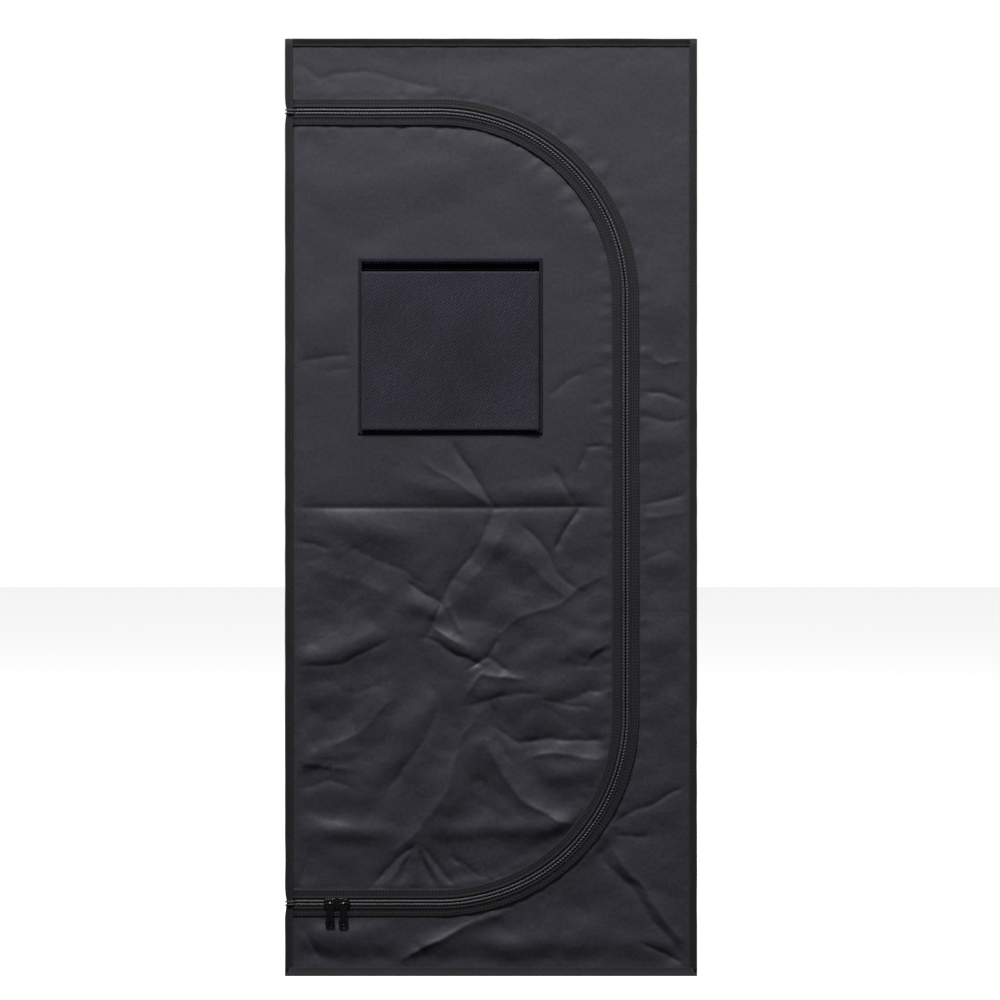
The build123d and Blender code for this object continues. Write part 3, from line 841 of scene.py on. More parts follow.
# The inner pulls slide this far to the right, close behind the cloth
PULL_PATH_END = -125.0 * MM
PULL_PATH_LOW = ZIP_BOTTOM - 90.0 * MM


def refine(builder, creases, reach):
    """Splits the faces beside the creases, so that sharp folds stay sharp."""
    near = []
    for edge in builder.edges:
        middle = (edge.verts[0].co + edge.verts[1].co) / 2
        x, z = middle.x / MM, middle.z / MM
        for _, _, *points in creases:
            if not min(p[0] for p in points) - reach < x < max(p[0] for p in points) + reach:
                continue
            if not min(p[1] for p in points) - reach < z < max(p[1] for p in points) + reach:
                continue
            if along_line(x, z, points)[0] < reach:
                near.append(edge)
                break
    bmesh.ops.subdivide_edges(builder, edges=near, cuts=1, use_grid_fill=True)


def beside_seams(x, z, from_edge):
    """How far the stitching pulls the cloth in, in metres: a groove and short ripples."""
    beside = abs(zip_offset(x, z)) - ZIP_HALF
    pucker = SEAM_PUCKER * math.exp(-abs(beside - 1.5 * MM) / (3 * MM))
    ripple = ZIP_RIPPLE * noise.noise(Vector((zip_along(x, z) / (17 * MM), beside / (40 * MM), 3.3)))
    pucker += ripple * smooth(beside, -2 * MM, 6 * MM) * math.exp(-max(0.0, beside) / (20 * MM))
    edge_ripple = EDGE_RIPPLE * noise.noise(Vector((x / (19 * MM), z / (19 * MM), 8.8)))
    pucker += edge_ripple * smooth(from_edge, 3 * MM, 9 * MM) * math.exp(-from_edge / (18 * MM))
    return pucker * MM


def front_lift(x, z, keep_inside, slack):
    """How far a point of the front's cloth, or of its lining, stands out of the flat wall."""
    from_zip = abs(zip_offset(x, z)) - ZIP_HALF * 0.8
    from_edge = min(x - LEFT, RIGHT - x, z, TOP - z)
    from_window = max(frame_low.x - x, x - frame_high.x, frame_low.z - z, z - frame_high.z)
    fade = seam_fade(from_zip, from_edge, *([from_window] if keep_inside else []))
    lift = (front_height(x, z) - slack) * fade - beside_seams(x, z, from_edge)
    if not keep_inside and z < ZIP_BOTTOM:
        path = 1 - smooth(x, PULL_PATH_END, PULL_PATH_END + 40 * MM)
        path *= smooth(z, PULL_PATH_LOW, PULL_PATH_LOW + 35 * MM)
        lift += path * (max(lift, -0.5 * MM) - lift)
    return lift


def front_cloth(name, keep_inside, behind, thickness, material, spacing, fine, slack):
    """The wall's or the door's cloth, or its lining, with the creases of the front."""
    left = LEFT if not keep_inside else ZIP_LEFT
    builder = sheet_grid(RIGHT - left, TOP, spacing)
    bmesh.ops.translate(builder, vec=((RIGHT + left) / 2, FRONT + behind, TOP / 2), verts=builder.verts)
    gap = CLOTH_TO_ZIP + (FILM_GAP if slack else 0.0)
    cut_to_zip(builder, -gap if keep_inside else gap, keep_inside, spacing)
    if keep_inside:
        low = Vector((frame_low.x + WINDOW_HOLE, 0, frame_low.z + WINDOW_HOLE))
        high = Vector((frame_high.x - WINDOW_HOLE, 0, frame_high.z - WINDOW_HOLE))
        cut_rectangle(builder, low, high)
    if fine:
        refine(builder, FRONT_CREASES, 11.0)
    record_flat(builder)
    for vert in builder.verts:
        vert.co.y -= front_lift(vert.co.x, vert.co.z, keep_inside, slack)
    piece = finished(builder, name, material)
    padded_cloth(piece, thickness)
    return piece


cloth_make = (0.0, CLOTH_THICKNESS, oxford_cloth, FRONT_SPACING, True, 0.0)
film_make = (FILM_BEHIND, FILM_THICKNESS, silver_film, FILM_SPACING, False, FILM_SLACK)
front_wall = front_cloth("front_wall_cloth", False, *cloth_make)
door_cloth = front_cloth("door_cloth", True, *cloth_make)
front_film = front_cloth("front_lining_film", False, *film_make)
door_film = front_cloth("door_lining_film", True, *film_make)

# %% [markdown]
# ## Flat sizes of the front
#
# The wall is cut from a whole rectangle and the door from a smaller one. The area that is
# left of each follows from the line of the zip.

# %% Sheets of the front


for piece, body, node, slot, gap in (
    (front_wall, "cabin", "front_wall", "oxford_cloth", CLOTH_TO_ZIP),
    (front_film, "cabin", "front_lining", "lining_film", CLOTH_TO_ZIP + FILM_GAP),
    (door_cloth, "door", "door_panel", "oxford_cloth", CLOTH_TO_ZIP),
    (door_film, "door", "door_lining", "lining_film", CLOTH_TO_ZIP + FILM_GAP),
):
    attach(piece, body)
    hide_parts(node)
    if body == "cabin":
        flat = (RIGHT - LEFT, TOP)
    else:
        flat = (ZIP_RIGHT - ZIP_LEFT - gap, ZIP_TOP - ZIP_BOTTOM - 2 * gap)

# %% [markdown]
# ## Side, back, roof and floor cloths
#
# The other walls are whole rectangles of the same cloth, hung from the roof seam. Each has
# the same fold lines as a folded sheet has: one across the middle and one down it, with
# soft folds between. The right wall has a round hole for the steam port.

# %% Plain walls
PLAIN_SPACING = 9.0 * MM
# How far the film hangs behind the cloth, in millimetres
PLAIN_SLACK = 2.5


def plain_cloth(name, width, height, turn, centre, thickness, material, seed, spacing, port=None, sunk=False):
    """A rectangle of creased cloth, turned into place. It faces -Y before it is turned.

    port is the middle and radius of a round hole. A sunk cloth creases only inwards."""
    builder = sheet_grid(width, height, spacing)
    if port:
        middle, radius = port
        for vert in builder.verts:
            gap = math.hypot(vert.co.x - middle[0], vert.co.z - middle[1]) - radius
            if abs(gap) < 0.6 * spacing:
                away = Vector((vert.co.x - middle[0], 0, vert.co.z - middle[1])).normalized()
                vert.co -= away * gap
        hole = []
        for face in builder.faces:
            spot = face.calc_center_median()
            if math.hypot(spot.x - middle[0], spot.z - middle[1]) < radius:
                hole.append(face)
        bmesh.ops.delete(builder, geom=hole, context="FACES")
    record_flat(builder)
    wall_creases = [
        (4.0, 14, (-width / MM / 2, 4), (0, 0), (width / MM / 2, 3)),
        (1.8, 12, (2, height / MM / 2), (0, 0), (-2, -height / MM / 2)),
        (2.6, 13, (-60, 70), (0, 0), (70, -85)),
        (2.4, 12, (-75, -60), (-4, 2), (50, 90)),
        (2.2, 14, (width / MM / 3, 190), (width / MM / 4, 120)),
        (2.2, 14, (-width / MM / 4, -220), (-width / MM / 3, -130)),
    ]
    for vert in builder.verts:
        x, z = vert.co.x / MM, vert.co.z / MM
        bend = noise.noise_vector(Vector((x / 90, z / 90, seed))) * 9
        lift = 1.4 * crease_height(x + bend.x, z + bend.y, wall_creases)
        lift += 2.6 * soft_folds(x, z, math.radians(30), 330, 90, seed)
        lift += 2.2 * soft_folds(x, z, math.radians(-8), 420, 180, seed + 3)
        lift -= 1.7 * crumpled(x + 0.3 * z, z - 0.3 * x, 210, seed)
        lift -= 1.6 * creased(x, z, 240, 12, seed + 5)
        from_edge = min(width / 2 - abs(vert.co.x), height / 2 - abs(vert.co.z))
        fade = seam_fade(from_edge)
        if port:
            from_port = math.hypot(vert.co.x - middle[0], vert.co.z - middle[1])
            fade *= smooth(from_port, radius + 10 * MM, 2.6 * radius)
        if sunk:
            lift = -0.5 * abs(lift)
        vert.co.y -= (lift - (PLAIN_SLACK if material is silver_film else 0.0)) * fade * MM
    bmesh.ops.rotate(builder, matrix=turn, verts=builder.verts)
    bmesh.ops.translate(builder, vec=centre, verts=builder.verts)
    piece = finished(builder, name, material)
    padded_cloth(piece, thickness)
    return piece


port_low, port_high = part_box("steam_port_bush")
PORT_HOLE = 22.5 * MM
port_across = (port_low.y + port_high.y) / 2
port_up = (port_low.z + port_high.z) / 2 - TOP / 2
SEAM_INSET = CLOTH + 0.2 * MM
DEPTH = BACK - FRONT
WIDTH = RIGHT - LEFT
LINING = 0.6 * MM
about_z = {"back": math.pi, "left": -math.pi / 2, "right": math.pi / 2}
walls = {
    "back": (WIDTH, Vector((0, BACK, TOP / 2))),
    "left": (DEPTH - 2 * SEAM_INSET, Vector((LEFT, 0, TOP / 2))),
    "right": (DEPTH - 2 * SEAM_INSET, Vector((RIGHT, 0, TOP / 2))),
}
for number, (side, (width, centre)) in enumerate(walls.items()):
    turn = Matrix.Rotation(about_z[side], 3, "Z")
    inward = turn @ Vector((0, 1, 0))
    port = ((port_across, port_up), PORT_HOLE) if side == "right" else None
    seed = 41.0 + number
    cloth = plain_cloth(
        f"{side}_wall_cloth",
        width,
        TOP,
        turn,
        centre,
        CLOTH_THICKNESS,
        oxford_cloth,
        seed,
        PLAIN_SPACING,
        port,
    )
    inset = 2 * SEAM_INSET if side == "back" else 2 * (LINING + 0.2 * MM)
    film = plain_cloth(
        f"{side}_lining_film",
        width - inset,
        TOP - 2 * SEAM_INSET,
        turn,
        centre + inward * FILM_BEHIND,
        FILM_THICKNESS,
        silver_film,
        seed,
        2 * PLAIN_SPACING,
        port,
    )
    for piece, node, slot in (
        (cloth, f"{side}_wall", "oxford_cloth"),
        (film, f"{side}_lining", "lining_film"),
    ):
        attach(piece, "cabin")
        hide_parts(node)
    print(cloth.name, len(cloth.data.polygons), "faces")

# %% [markdown]
# ## Roof and floor
#
# The roof cloth lies over the four top tubes and is creased as the walls are. The floor
# cloth lies flat, so its creases only ever rise off the ground.

# %% Roof and floor
floor_cloth_low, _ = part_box("floor_panel")
_, roof_cloth_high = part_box("roof_panel")
flat_width = WIDTH - 2 * SEAM_INSET
for name, quarter, height, node, held_up in (
    ("roof", -math.pi / 2, roof_cloth_high.z, "roof", ["top_tube_front", "top_tube_back"]),
    ("floor", math.pi / 2, floor_cloth_low.z, "floor", []),
):
    turn = Matrix.Rotation(quarter, 3, "X")
    inward = turn @ Vector((0, 1, 0))
    for part, extra, behind, thickness, material, spacing in (
        ("panel", 0.0, 0.0, CLOTH_THICKNESS, oxford_cloth, PLAIN_SPACING),
        ("lining", 2 * (LINING + 0.2 * MM), FILM_BEHIND, FILM_THICKNESS, silver_film, 2 * PLAIN_SPACING),
    ):
        side = flat_width - extra
        place = Vector((0, 0, height)) + inward * behind
        seed = 60.0 if name == "roof" else 66.0
        sunk = name == "floor"
        piece = plain_cloth(
            f"{name}_{part}_cloth", side, side, turn, place, thickness, material, seed, spacing, sunk=sunk
        )
        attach(piece, "cabin")
        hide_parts(f"{node}_{part}")
        print(piece.name, len(piece.data.polygons), "faces")

# %% [markdown]
# ## Zip tapes and coil
#
# A coil zip is two woven tapes, each with a row of nylon turns sewn along one edge. Each
# half is one outline carried round the line of the door: straight along the top, round a
# quarter circle, down the side, round again, and back to the left. Next to the coil the
# tape rises over the cord inside it, and beside that lies the groove in which the slider
# runs. A real zip is never quite straight, so the whole line wanders by a millimetre or so.

# %% Sweep round the door
ZIP_STEP = 9.0 * MM
SLIDER_REACH = 275.0 * MM


def zip_wander(along):
    """How far the zip strays outwards in its plane, and out of it, at a distance along it."""
    fade = smooth(along, 0.0, 60 * MM) * smooth(ZIP_LENGTH - along, SLIDER_REACH, SLIDER_REACH + 90 * MM)
    sideways = 0.9 * noise.noise(Vector((along / 0.16, 1.7, 0.0)))
    proud = 0.7 + 1.1 * noise.noise(Vector((along / 0.11, 8.2, 0.0)))
    return sideways * fade * MM, max(0.0, proud) * fade * MM


def wander(builder):
    """Moves every vertex of a swept piece with the zip's wander."""
    for vert in builder.verts:
        along = min(max(zip_along(vert.co.x, vert.co.z), 0.0), ZIP_LENGTH)
        _, turn = zip_point(along)
        sideways, proud = zip_wander(along)
        vert.co += Vector((math.sin(turn) * sideways, -proud, math.cos(turn) * sideways))


def carry(builder, edges, distance, step, move=None, centre=None, angle=0.0):
    """Carries an outline along a straight or an arc and returns the outline at its end."""
    steps = max(1, round(distance / step))
    swept = bmesh.ops.spin(
        builder,
        geom=edges,
        cent=centre or (0.0, 0.0, 0.0),
        axis=(0.0, 1.0, 0.0),
        dvec=(move * (distance / steps)) if move else (0.0, 0.0, 0.0),
        angle=angle,
        steps=steps,
        use_duplicate=False,
    )
    return [item for item in swept["geom_last"] if isinstance(item, bmesh.types.BMEdge)]


def outline(builder, points):
    """A closed ring of edges through points."""
    ring = [builder.verts.new(point) for point in points]
    return [builder.edges.new(pair) for pair in zip(ring, ring[1:] + ring[:1])]


def close_ends(builder):
    """Caps the open ends of a swept piece and turns its faces outwards."""
    bmesh.ops.holes_fill(builder, edges=builder.edges, sides=0)
    bmesh.ops.recalc_face_normals(builder, faces=builder.faces)


def zip_sweep(name, section, material):
    """Carries a closed section of (offset, proud) millimetres round the door."""
    builder = bmesh.new()
    ring = [(ZIP_LEFT, FRONT - proud * MM, ZIP_TOP + offset * MM) for offset, proud in section]
    edges = outline(builder, ring)
    quarter = math.pi / 2
    edges = carry(builder, edges, TOP_RUN, ZIP_STEP, move=Vector((1, 0, 0)))
    edges = carry(builder, edges, ARC_RUN, ZIP_STEP, centre=(ARC_X, 0.0, ARC_TOP), angle=quarter)
    edges = carry(builder, edges, SIDE_RUN, ZIP_STEP, move=Vector((0, 0, -1)))
    edges = carry(builder, edges, ARC_RUN, ZIP_STEP, centre=(ARC_X, 0.0, ARC_BOTTOM), angle=quarter)
    carry(builder, edges, TOP_RUN, ZIP_STEP, move=Vector((-1, 0, 0)))
    close_ends(builder)
    flat = builder.loops.layers.uv.new("flat")
    for face in builder.faces:
        for loop in face.loops:
            x, z = loop.vert.co.x, loop.vert.co.z
            loop[flat].uv = (zip_along(x, z), zip_offset(x, z))
    wander(builder)
    piece = finished(builder, name, material)
    shade_smooth(piece)
    return piece


# %% [markdown]
# ## Outlines of the zip
#
# Each point of an outline is a distance from the zip's centre line and a height off the
# cloth, in millimetres. The door's half is the mirror image of the wall's half.

# %% Zip tapes and coil cores
TAPE_SECTION = [
    (1.2, 0.1), (1.2, 0.9), (6.6, 0.9), (7.4, 0.7), (8.0, 1.5), (9.0, 2.4), (10.4, 2.6), (11.6, 2.1),
    (12.4, 1.3), (14.0, 1.1), (19.0, 1.3), (24.6, 1.2), (25.8, 0.9), (26.0, 0.1),
]
COIL_SECTION = [(1.0, 0.9), (1.0, 1.5), (1.8, 1.8), (3.4, 1.9), (5.0, 1.8), (5.6, 1.4), (5.7, 0.9)]
zip_halves = {"wall": (1, "cabin"), "door": (-1, "door")}
for half, (side, body) in zip_halves.items():
    for node, section, material, slot in (
        (f"{half}_zip_tape", TAPE_SECTION, zip_webbing, "woven_tape"),
        (f"{half}_zip_coil", COIL_SECTION, nylon_coil, "zip_coil"),
    ):
        piece = zip_sweep(f"{node}_woven", [(side * offset, proud) for offset, proud in section], material)
        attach(piece, body)
        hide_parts(node)
        if material is zip_webbing:
            width = (TAPE_SECTION[-1][0] - TAPE_SECTION[0][0]) * MM
        print(piece.name, len(piece.data.polygons), "faces")

# %% [markdown]
# ## Teeth and stitches
#
# The turns of the coil show as two rows of slanted beads. Sewing thread shows as rows of
# short stitches, each sunk a little into the cloth. One small bead of 32 faces is copied
# for all of them: it is scaled, turned along its row and joined to the others.

# %% Beads along the zip


def beads(name, places, size, material):
    """Copies one small bead to every place; a place is a 4 x 4 matrix."""
    shape = bmesh.new()
    bmesh.ops.create_uvsphere(shape, u_segments=6, v_segments=5, radius=0.5)
    bmesh.ops.rotate(shape, matrix=Matrix.Rotation(math.pi / 2, 3, "Y"), verts=shape.verts)
    bmesh.ops.scale(shape, vec=size, verts=shape.verts)
    single = bpy.data.meshes.new("bead")
    shape.to_mesh(single)
    shape.free()
    joined = bmesh.new()
    for place in places:
        copy = single.copy()
        copy.transform(place)
        joined.from_mesh(copy)
        bpy.data.meshes.remove(copy)
    bpy.data.meshes.remove(single)
    piece = finished(joined, name, material)
    shade_smooth(piece)
    print(name, len(places), "beads")
    return piece


ROW_END = 6.0 * MM


def along_zip(offset, proud, pitch, slant=0.0):
    """Places for beads in a row beside the zip's centre line."""
    places = []
    for number in range(int((ZIP_LENGTH - 2 * ROW_END) / pitch)):
        along = ROW_END + (number + 0.5) * pitch
        centre, turn = zip_point(along)
        outward = Vector((math.sin(turn), 0, math.cos(turn)))
        sideways, lift = zip_wander(along)
        spot = centre + outward * (offset * MM + sideways) + Vector((0, -proud * MM - lift, 0))
        places.append(Matrix.Translation(spot) @ Matrix.Rotation(turn + slant, 4, "Y"))
    return places


TOOTH_PITCH = 6.2 * MM
STITCH_PITCH = 6.4 * MM
for half, (side, body) in zip_halves.items():
    teeth = beads(
        f"{half}_zip_teeth",
        along_zip(side * 3.2, 1.75, TOOTH_PITCH, slant=side * math.radians(32)),
        (7.2 * MM, 2.5 * MM, 3.8 * MM),
        nylon_coil,
    )
    rows = along_zip(side * 13.2, 1.2, STITCH_PITCH) + along_zip(side * 23.4, 1.25, STITCH_PITCH)
    rows += along_zip(side * 18.4, 1.3, STITCH_PITCH)
    stitches = beads(f"{half}_zip_stitches", rows, (4.0 * MM, 0.9 * MM, 1.3 * MM), thread)
    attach(teeth, body)
    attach(stitches, body)

# %% [markdown]
# ## Ends of the coil
#
# The zip is sewn in before the corner tape, so its last turns are caught under the seam
# and poke out over the binding on the left. They are three more pairs of beads at each end.

# %% Ends of the coil
ends = []
for height in (ZIP_TOP, ZIP_BOTTOM):
    for number, proud in enumerate((3.4, 4.6, 5.0)):
        x = ZIP_LEFT - (1.0 + 5.2 * number) * MM
        for side in (1, -1):
            spot = Vector((x, FRONT - proud * MM, height + side * 2.8 * MM))
            ends.append(Matrix.Translation(spot) @ Matrix.Rotation(side * math.radians(24), 4, "Y"))
zip_ends = beads("zip_coil_ends", ends, (7.4 * MM, 3.6 * MM, 4.2 * MM), nylon_coil)
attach(zip_ends, "cabin")

# %% [markdown]
# ## Sliders and pulls
#
# The sliders and pulls are castings, so their edges are rounded. Each is a copy of the
# CAD part with the flat triangles merged and every sharp edge bevelled, which is also what
# makes black enamel glint.

# %% Castings
SHARP = math.radians(35)
CAST_ROUND = 0.45 * MM


def cast(node, radius):
    """A copy of a CAD part with its sharp edges rounded."""
    builder = bmesh.new()
    builder.from_mesh(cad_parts[node].data)
    bmesh.ops.remove_doubles(builder, verts=builder.verts, dist=1e-6)
    bmesh.ops.dissolve_limit(builder, angle_limit=math.radians(1), verts=builder.verts, edges=builder.edges)
    sharp = [edge for edge in builder.edges if len(edge.link_faces) == 2 and edge.calc_face_angle(0) > SHARP]
    bmesh.ops.bevel(
        builder,
        geom=sharp,
        offset=radius,
        segments=3,
        profile=0.5,
        affect="EDGES",
        clamp_overlap=True,
        material=-1,
    )
    piece = finished(builder, f"{node}_cast", black_enamel)
    shade_smooth(piece)
    return piece


castings = [f"{side}_slider" for side in ("left", "right")]
castings += [f"{side}_{face}_pull" for side in ("left", "right") for face in ("outer", "inner")]
for node in castings:
    piece = cast(node, CAST_ROUND)
    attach(piece, node)
    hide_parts(node)
    print(piece.name, len(piece.data.polygons), "faces")

# %% [markdown]
# ## Seam bindings
#
# Two plates of cloth meet at each corner of the cabin. A folded tape is sewn over their
# raw edges: it laps 4 mm onto each face and stands out from the corner as a soft fin. Its
# outline is carried along each edge in short steps, so that it can waver a little. The
# foot is a wider, flatter fold that the cabin stands on.

# %% Seam bindings
_, corner_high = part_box("front_binding")
FOOT = 15.5 * MM
FOLD_TRIM = 3.0 * MM
BINDING_STEP = 14.0 * MM
# Outlines in millimetres: out from the cabin, then along its face
FOLD_SECTION = [
    (0.0, 0.0), (-4.0, 0.0), (-4.3, 0.8), (-3.6, 1.6), (-2.2, 1.4), (0.5, 1.7), (4.0, 2.7), (8.4, 4.2),
    (10.2, 4.4), (10.8, 3.6), (10.4, 2.2), (8.0, 1.2), (4.0, -0.2), (1.9, -1.6), (1.4, -3.4), (0.9, -4.3),
    (0.0, -4.0),
]
FOOT_SECTION = [
    (0.2, 0.2), (8.8, 0.0), (10.2, 0.5), (10.6, 1.8), (9.6, 3.4), (7.2, 5.4), (4.4, 8.6), (2.6, 12.4),
    (1.9, 14.8), (1.2, 15.5), (0.2, 15.4),
]
POST_FOOT = 1.2 * MM


def edge_fold(name, section, start, move, length, first, second, waver, stretch=False):
    """Carries a fold's section along one edge of the cabin.

    first and second are the outward directions of the section's two lengths."""
    builder = bmesh.new()
    points = [start + (first * a + second * b) * MM for a, b in section]
    carry(builder, outline(builder, points), length, BINDING_STEP, move=move)
    close_ends(builder)
    middle = start + move * (length / 2)
    flat = builder.loops.layers.uv.new("flat")
    for face in builder.faces:
        for loop in face.loops:
            rest = loop.vert.co - start
            loop[flat].uv = (rest.dot(move), rest.dot(first) - rest.dot(second))
    for vert in builder.verts:
        rest = vert.co - start
        out = max(0.0, rest.dot(first))
        if stretch:
            vert.co += move * ((vert.co - middle).dot(move) * out / (length / 2))
        else:
            sway = noise.noise(Vector((rest.dot(move) / 0.09, waver, 0.0)))
            trim = 1.2 * MM * smooth(out, 6 * MM, 11 * MM)
            if abs(start.x - LEFT) < MM and abs(start.y - FRONT) < MM and move.z > 0.5:
                for pinch in (ZIP_TOP, ZIP_BOTTOM):
                    vert.co -= first * (0.34 * out * math.exp(-(((vert.co.z - pinch) / (13 * MM)) ** 2)))
            vert.co += second * (sway * out * 0.12) - first * (abs(sway) * out * 0.10)
            if rest.dot(move) > length - MM:
                vert.co -= move * trim
            elif rest.dot(move) < MM:
                vert.co += move * trim
    return builder


def join(builders, name, material):
    """Makes one object of several bmeshes."""
    whole = bmesh.new()
    for builder in builders:
        part = bpy.data.meshes.new("part")
        builder.to_mesh(part)
        builder.free()
        whole.from_mesh(part)
        bpy.data.meshes.remove(part)
    piece = finished(whole, name, material)
    shade_smooth(piece)
    return piece


X, Y, Z = Vector((1, 0, 0)), Vector((0, 1, 0)), Vector((0, 0, 1))
post_length = corner_high.z - POST_FOOT
for name, y, out in (("front_binding", FRONT, -Y), ("back_binding", BACK, Y)):
    folds = []
    for x, side in ((LEFT, -X), (RIGHT, X)):
        corner = Vector((x, y, POST_FOOT))
        folds.append(edge_fold(name, FOLD_SECTION, corner, Z, post_length, side, out, x * 9 + y))
    ledge = Vector((LEFT + FOLD_TRIM, y, TOP))
    folds.append(edge_fold(name, FOLD_SECTION, ledge, X, WIDTH - 2 * FOLD_TRIM, Z, out, y + 3))
    folds.append(edge_fold(name, FOOT_SECTION, Vector((LEFT, y, 0)), X, WIDTH, out, Z, 0.0, stretch=True))
    piece = join(folds, f"{name}_tape", binding_tape)
    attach(piece, "cabin")
    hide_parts(name)
folds = []
for x, side in ((LEFT, -X), (RIGHT, X)):
    ledge = Vector((x, FRONT + FOLD_TRIM, TOP))
    folds.append(edge_fold("side", FOLD_SECTION, ledge, Y, DEPTH - 2 * FOLD_TRIM, Z, side, x + 5))
    folds.append(edge_fold("side", FOOT_SECTION, Vector((x, FRONT, 0)), Y, DEPTH, side, Z, 0.0, stretch=True))
piece = join(folds, "side_binding_tape", binding_tape)
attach(piece, "cabin")
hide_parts("side_binding")
print(piece.name, len(piece.data.polygons), "faces")

# %% [markdown]
# ## Stitches of the bindings
#
# Two rows of thread would hold a real tape, one on each face of the corner. Only the rows
# that can be seen are made, with the same bead as the zip's stitches.

# %% Stitches of the bindings


def along_edge(start, end, pitch):
    """Places for stitches in a straight row from start to end."""
    way = (end - start).normalized()
    turn = way.to_track_quat("X", "Z").to_matrix().to_4x4()
    count = int((end - start).length / pitch)
    return [Matrix.Translation(start + way * (number + 0.5) * pitch) @ turn for number in range(count)]


lap = 1.6 * MM
on_face = 1.5 * MM
rows = []
for y, out in ((FRONT, -1), (BACK, 1)):
    face = y + out * on_face
    for x in (LEFT + lap, RIGHT - lap):
        rows += along_edge(Vector((x, face, FOOT)), Vector((x, face, TOP)), STITCH_PITCH)
    rows += along_edge(Vector((LEFT, face, TOP - lap)), Vector((RIGHT, face, TOP - lap)), STITCH_PITCH)
for x, out in ((LEFT, -1), (RIGHT, 1)):
    face = x + out * on_face
    rows += along_edge(Vector((face, FRONT, TOP - lap)), Vector((face, BACK, TOP - lap)), STITCH_PITCH)
binding_stitches = beads("binding_stitches", rows, (4.0 * MM, 1.1 * MM, 1.1 * MM), thread)
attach(binding_stitches, "cabin")

# %% [markdown]
# ## Window
#
# The window is a pane of clear vinyl behind a square frame of twill. A black band is sewn
# across the top, and from under it hangs a flap of the same twill, to cover the window. The
# flap stands off the pane and its free corners curl a little, which is why a thin shadow
# lies along its right side and its foot. The frame's twill is darker than the flap's: that
# is painted shade for the shadow round the flap.

# %% Window
WINDOW_SPACING = 4.5 * MM
BAND_SPACING = 3.2 * MM


def flat_piece(name, low, high, thickness, material, spacing, hole, shape):
    """A rectangle of cloth that fills a CAD piece's box, with its face on the box's front."""
    width, height = high.x - low.x, high.z - low.z
    builder = sheet_grid(width, height, spacing)
    middle = Vector(((low.x + high.x) / 2, low.y, (low.z + high.z) / 2))
    bmesh.ops.translate(builder, vec=middle, verts=builder.verts)
    if hole:
        inwards = Vector((hole, 0, hole))
        cut_rectangle(builder, low + inwards, high - inwards)
    record_flat(builder)
    for vert in builder.verts:
        across = (vert.co.x - low.x) / width
        up = (vert.co.z - low.z) / height
        edge = min(vert.co.x - low.x, high.x - vert.co.x, vert.co.z - low.z, high.z - vert.co.z)
        vert.co.y -= shape(across, up, edge) * MM
    piece = finished(builder, name, material)
    padded_cloth(piece, thickness)
    return piece


def frame_shape(across, up, edge):
    """Heights in millimetres, as for the next three: the frame's edges turn in."""
    return 0.5 * noise.noise(Vector((across * 9, up * 9, 2.0))) - 0.9 * math.exp(-edge / (2.5 * MM))


def band_shape(across, up, edge):
    """The band is thick pile, rounded at its edges."""
    return 0.5 - 0.5 * math.exp(-edge / (2.5 * MM)) + 0.25 * noise.noise(Vector((across * 8, up * 2, 4.0)))


def pane_shape(across, up, edge):
    """The vinyl is slack in the middle."""
    return 1.4 * smooth(edge, 0.0, 60 * MM) * soft_folds(across * 300, up * 300, 0.5, 180, 90, 71.0)


def flap_shape(across, up, edge):
    """The flap stands off towards its free corner, and its hem is doubled cloth."""
    free = 1 - up
    lift = 0.3 * free + 1.8 * smooth(across, 0.85, 1.0) * smooth(free, 0.1, 0.7)
    lift += 0.7 * smooth(free, 0.9, 1.0)
    lift += 0.8 * smooth(free, 0.0, 0.2) * (0.6 + soft_folds(across * 340, up * 310, 0.35, 200, 90, 77.0))
    hem = 0.7 if edge < 11 * MM and up < 0.97 else 0.0
    return lift + hem - 0.8 * math.exp(-edge / (1.6 * MM)) * (up < 0.97)
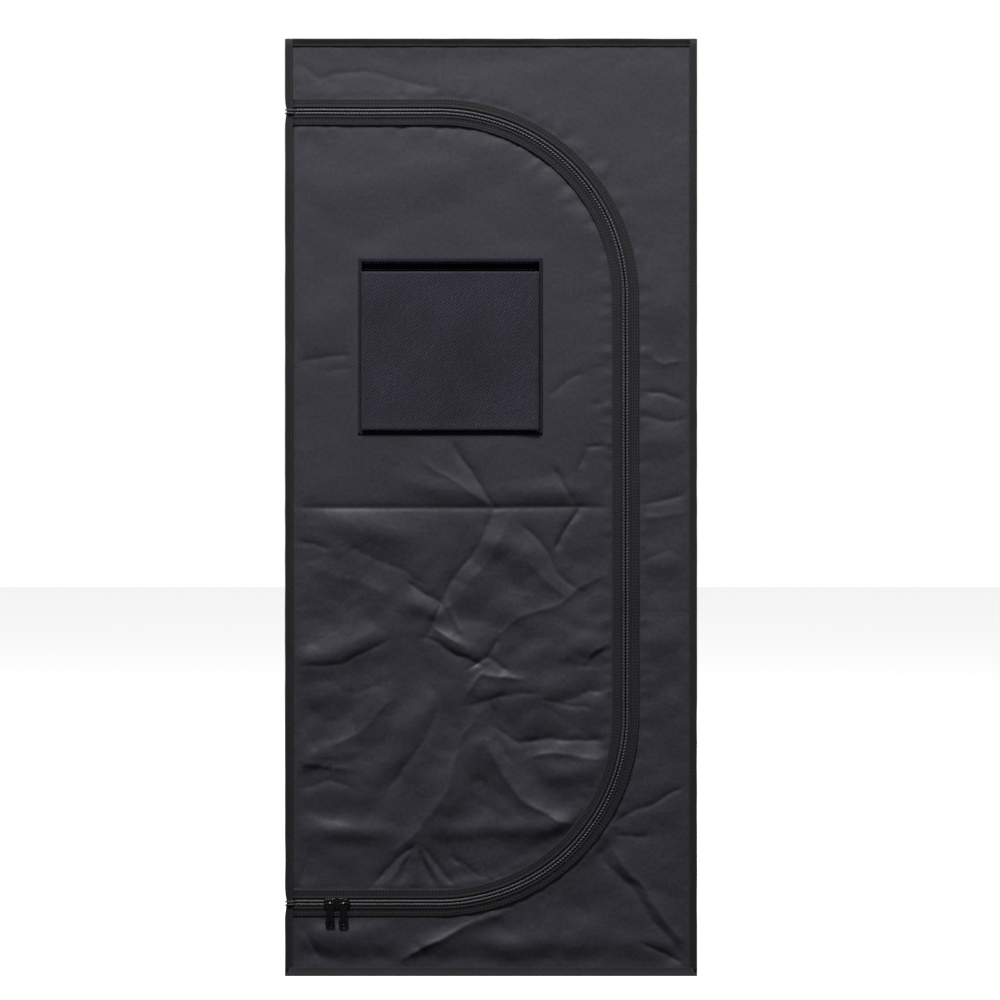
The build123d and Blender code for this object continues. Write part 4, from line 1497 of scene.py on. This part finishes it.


# The frame uses the darker copy of the twill, whose colour holds painted shade round the flap
frame_make = (1.7 * MM, painted_shade_twill, WINDOW_SPACING, WINDOW_HOLE, frame_shape)
pane_make = (0.8 * MM, clear_vinyl, 2 * WINDOW_SPACING, None, pane_shape)
band_make = (1.5 * MM, loop_band, BAND_SPACING, None, band_shape)
flap_make = (1.2 * MM, flap_twill, WINDOW_SPACING, None, flap_shape)
window_frame = flat_piece("window_frame_twill", frame_low, frame_high, *frame_make)
window_pane = flat_piece("window_pane_vinyl", hole_low, hole_high, *pane_make)
band = flat_piece("flap_band_tape", band_low, band_high, *band_make)
flap = flat_piece("window_flap_twill", flap_low, flap_high, *flap_make)

# %% [markdown]
# ## Flat sizes of the window
#
# The pane, the band and the flap are cut as they are seen. The frame is one strip of
# tape, cut in four lengths.

# %% Sheets of the window
FRAME_FLAT = (frame_high.x - frame_low.x, frame_high.z - frame_low.z)
PANE_FLAT = (hole_high.x - hole_low.x, hole_high.z - hole_low.z)
BAND_FLAT = (band_high.x - band_low.x, band_high.z - band_low.z)
FLAP_FLAT = (flap_high.x - flap_low.x, flap_high.z - flap_low.z)
FRAME_STRIP = (WINDOW_HOLE, 2 * (FRAME_FLAT[0] + FRAME_FLAT[1] - 2 * WINDOW_HOLE))
for piece, body, node, slot, flat, rests in (
    (window_frame, "door", "window_frame", "woven_tape", FRAME_STRIP, "door_cloth"),
    (window_pane, "door", "window_pane", "clear_vinyl", PANE_FLAT, "window_frame_twill"),
    (band, "door", "flap_band", "band_tape", BAND_FLAT, "window_frame_twill"),
    (flap, "flap", "window_flap", "flap_twill", FLAP_FLAT, "flap_band_tape"),
):
    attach(piece, body)
    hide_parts(node)
    print(piece.name, len(piece.data.polygons), "faces")

# %% [markdown]
# ## Stitches of the window
#
# The frame is sewn down along its outer and inner edges, and the band along its top and
# bottom.

# %% Stitches of the window
rows = []
for step in (2.6 * MM, 17.0 * MM):
    face = frame_low.y - 0.1 * MM
    low = Vector((frame_low.x + step, face, frame_low.z + step))
    high = Vector((frame_high.x - step, face, frame_high.z - step))
    for start, end in (
        (low, Vector((high.x, face, low.z))),
        (Vector((high.x, face, low.z)), high),
        (Vector((low.x, face, high.z)), high),
        (low, Vector((low.x, face, high.z))),
    ):
        rows += along_edge(start, end, STITCH_PITCH)
face = band_low.y - 0.35 * MM
step = 3 * MM
for height in (band_low.z + step, band_high.z - step):
    start = Vector((band_low.x + step, face, height))
    rows += along_edge(start, Vector((band_high.x - step, face, height)), STITCH_PITCH)
window_stitches = beads("window_stitches", rows, (3.2 * MM, 0.6 * MM, 0.7 * MM), thread)
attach(window_stitches, "door")
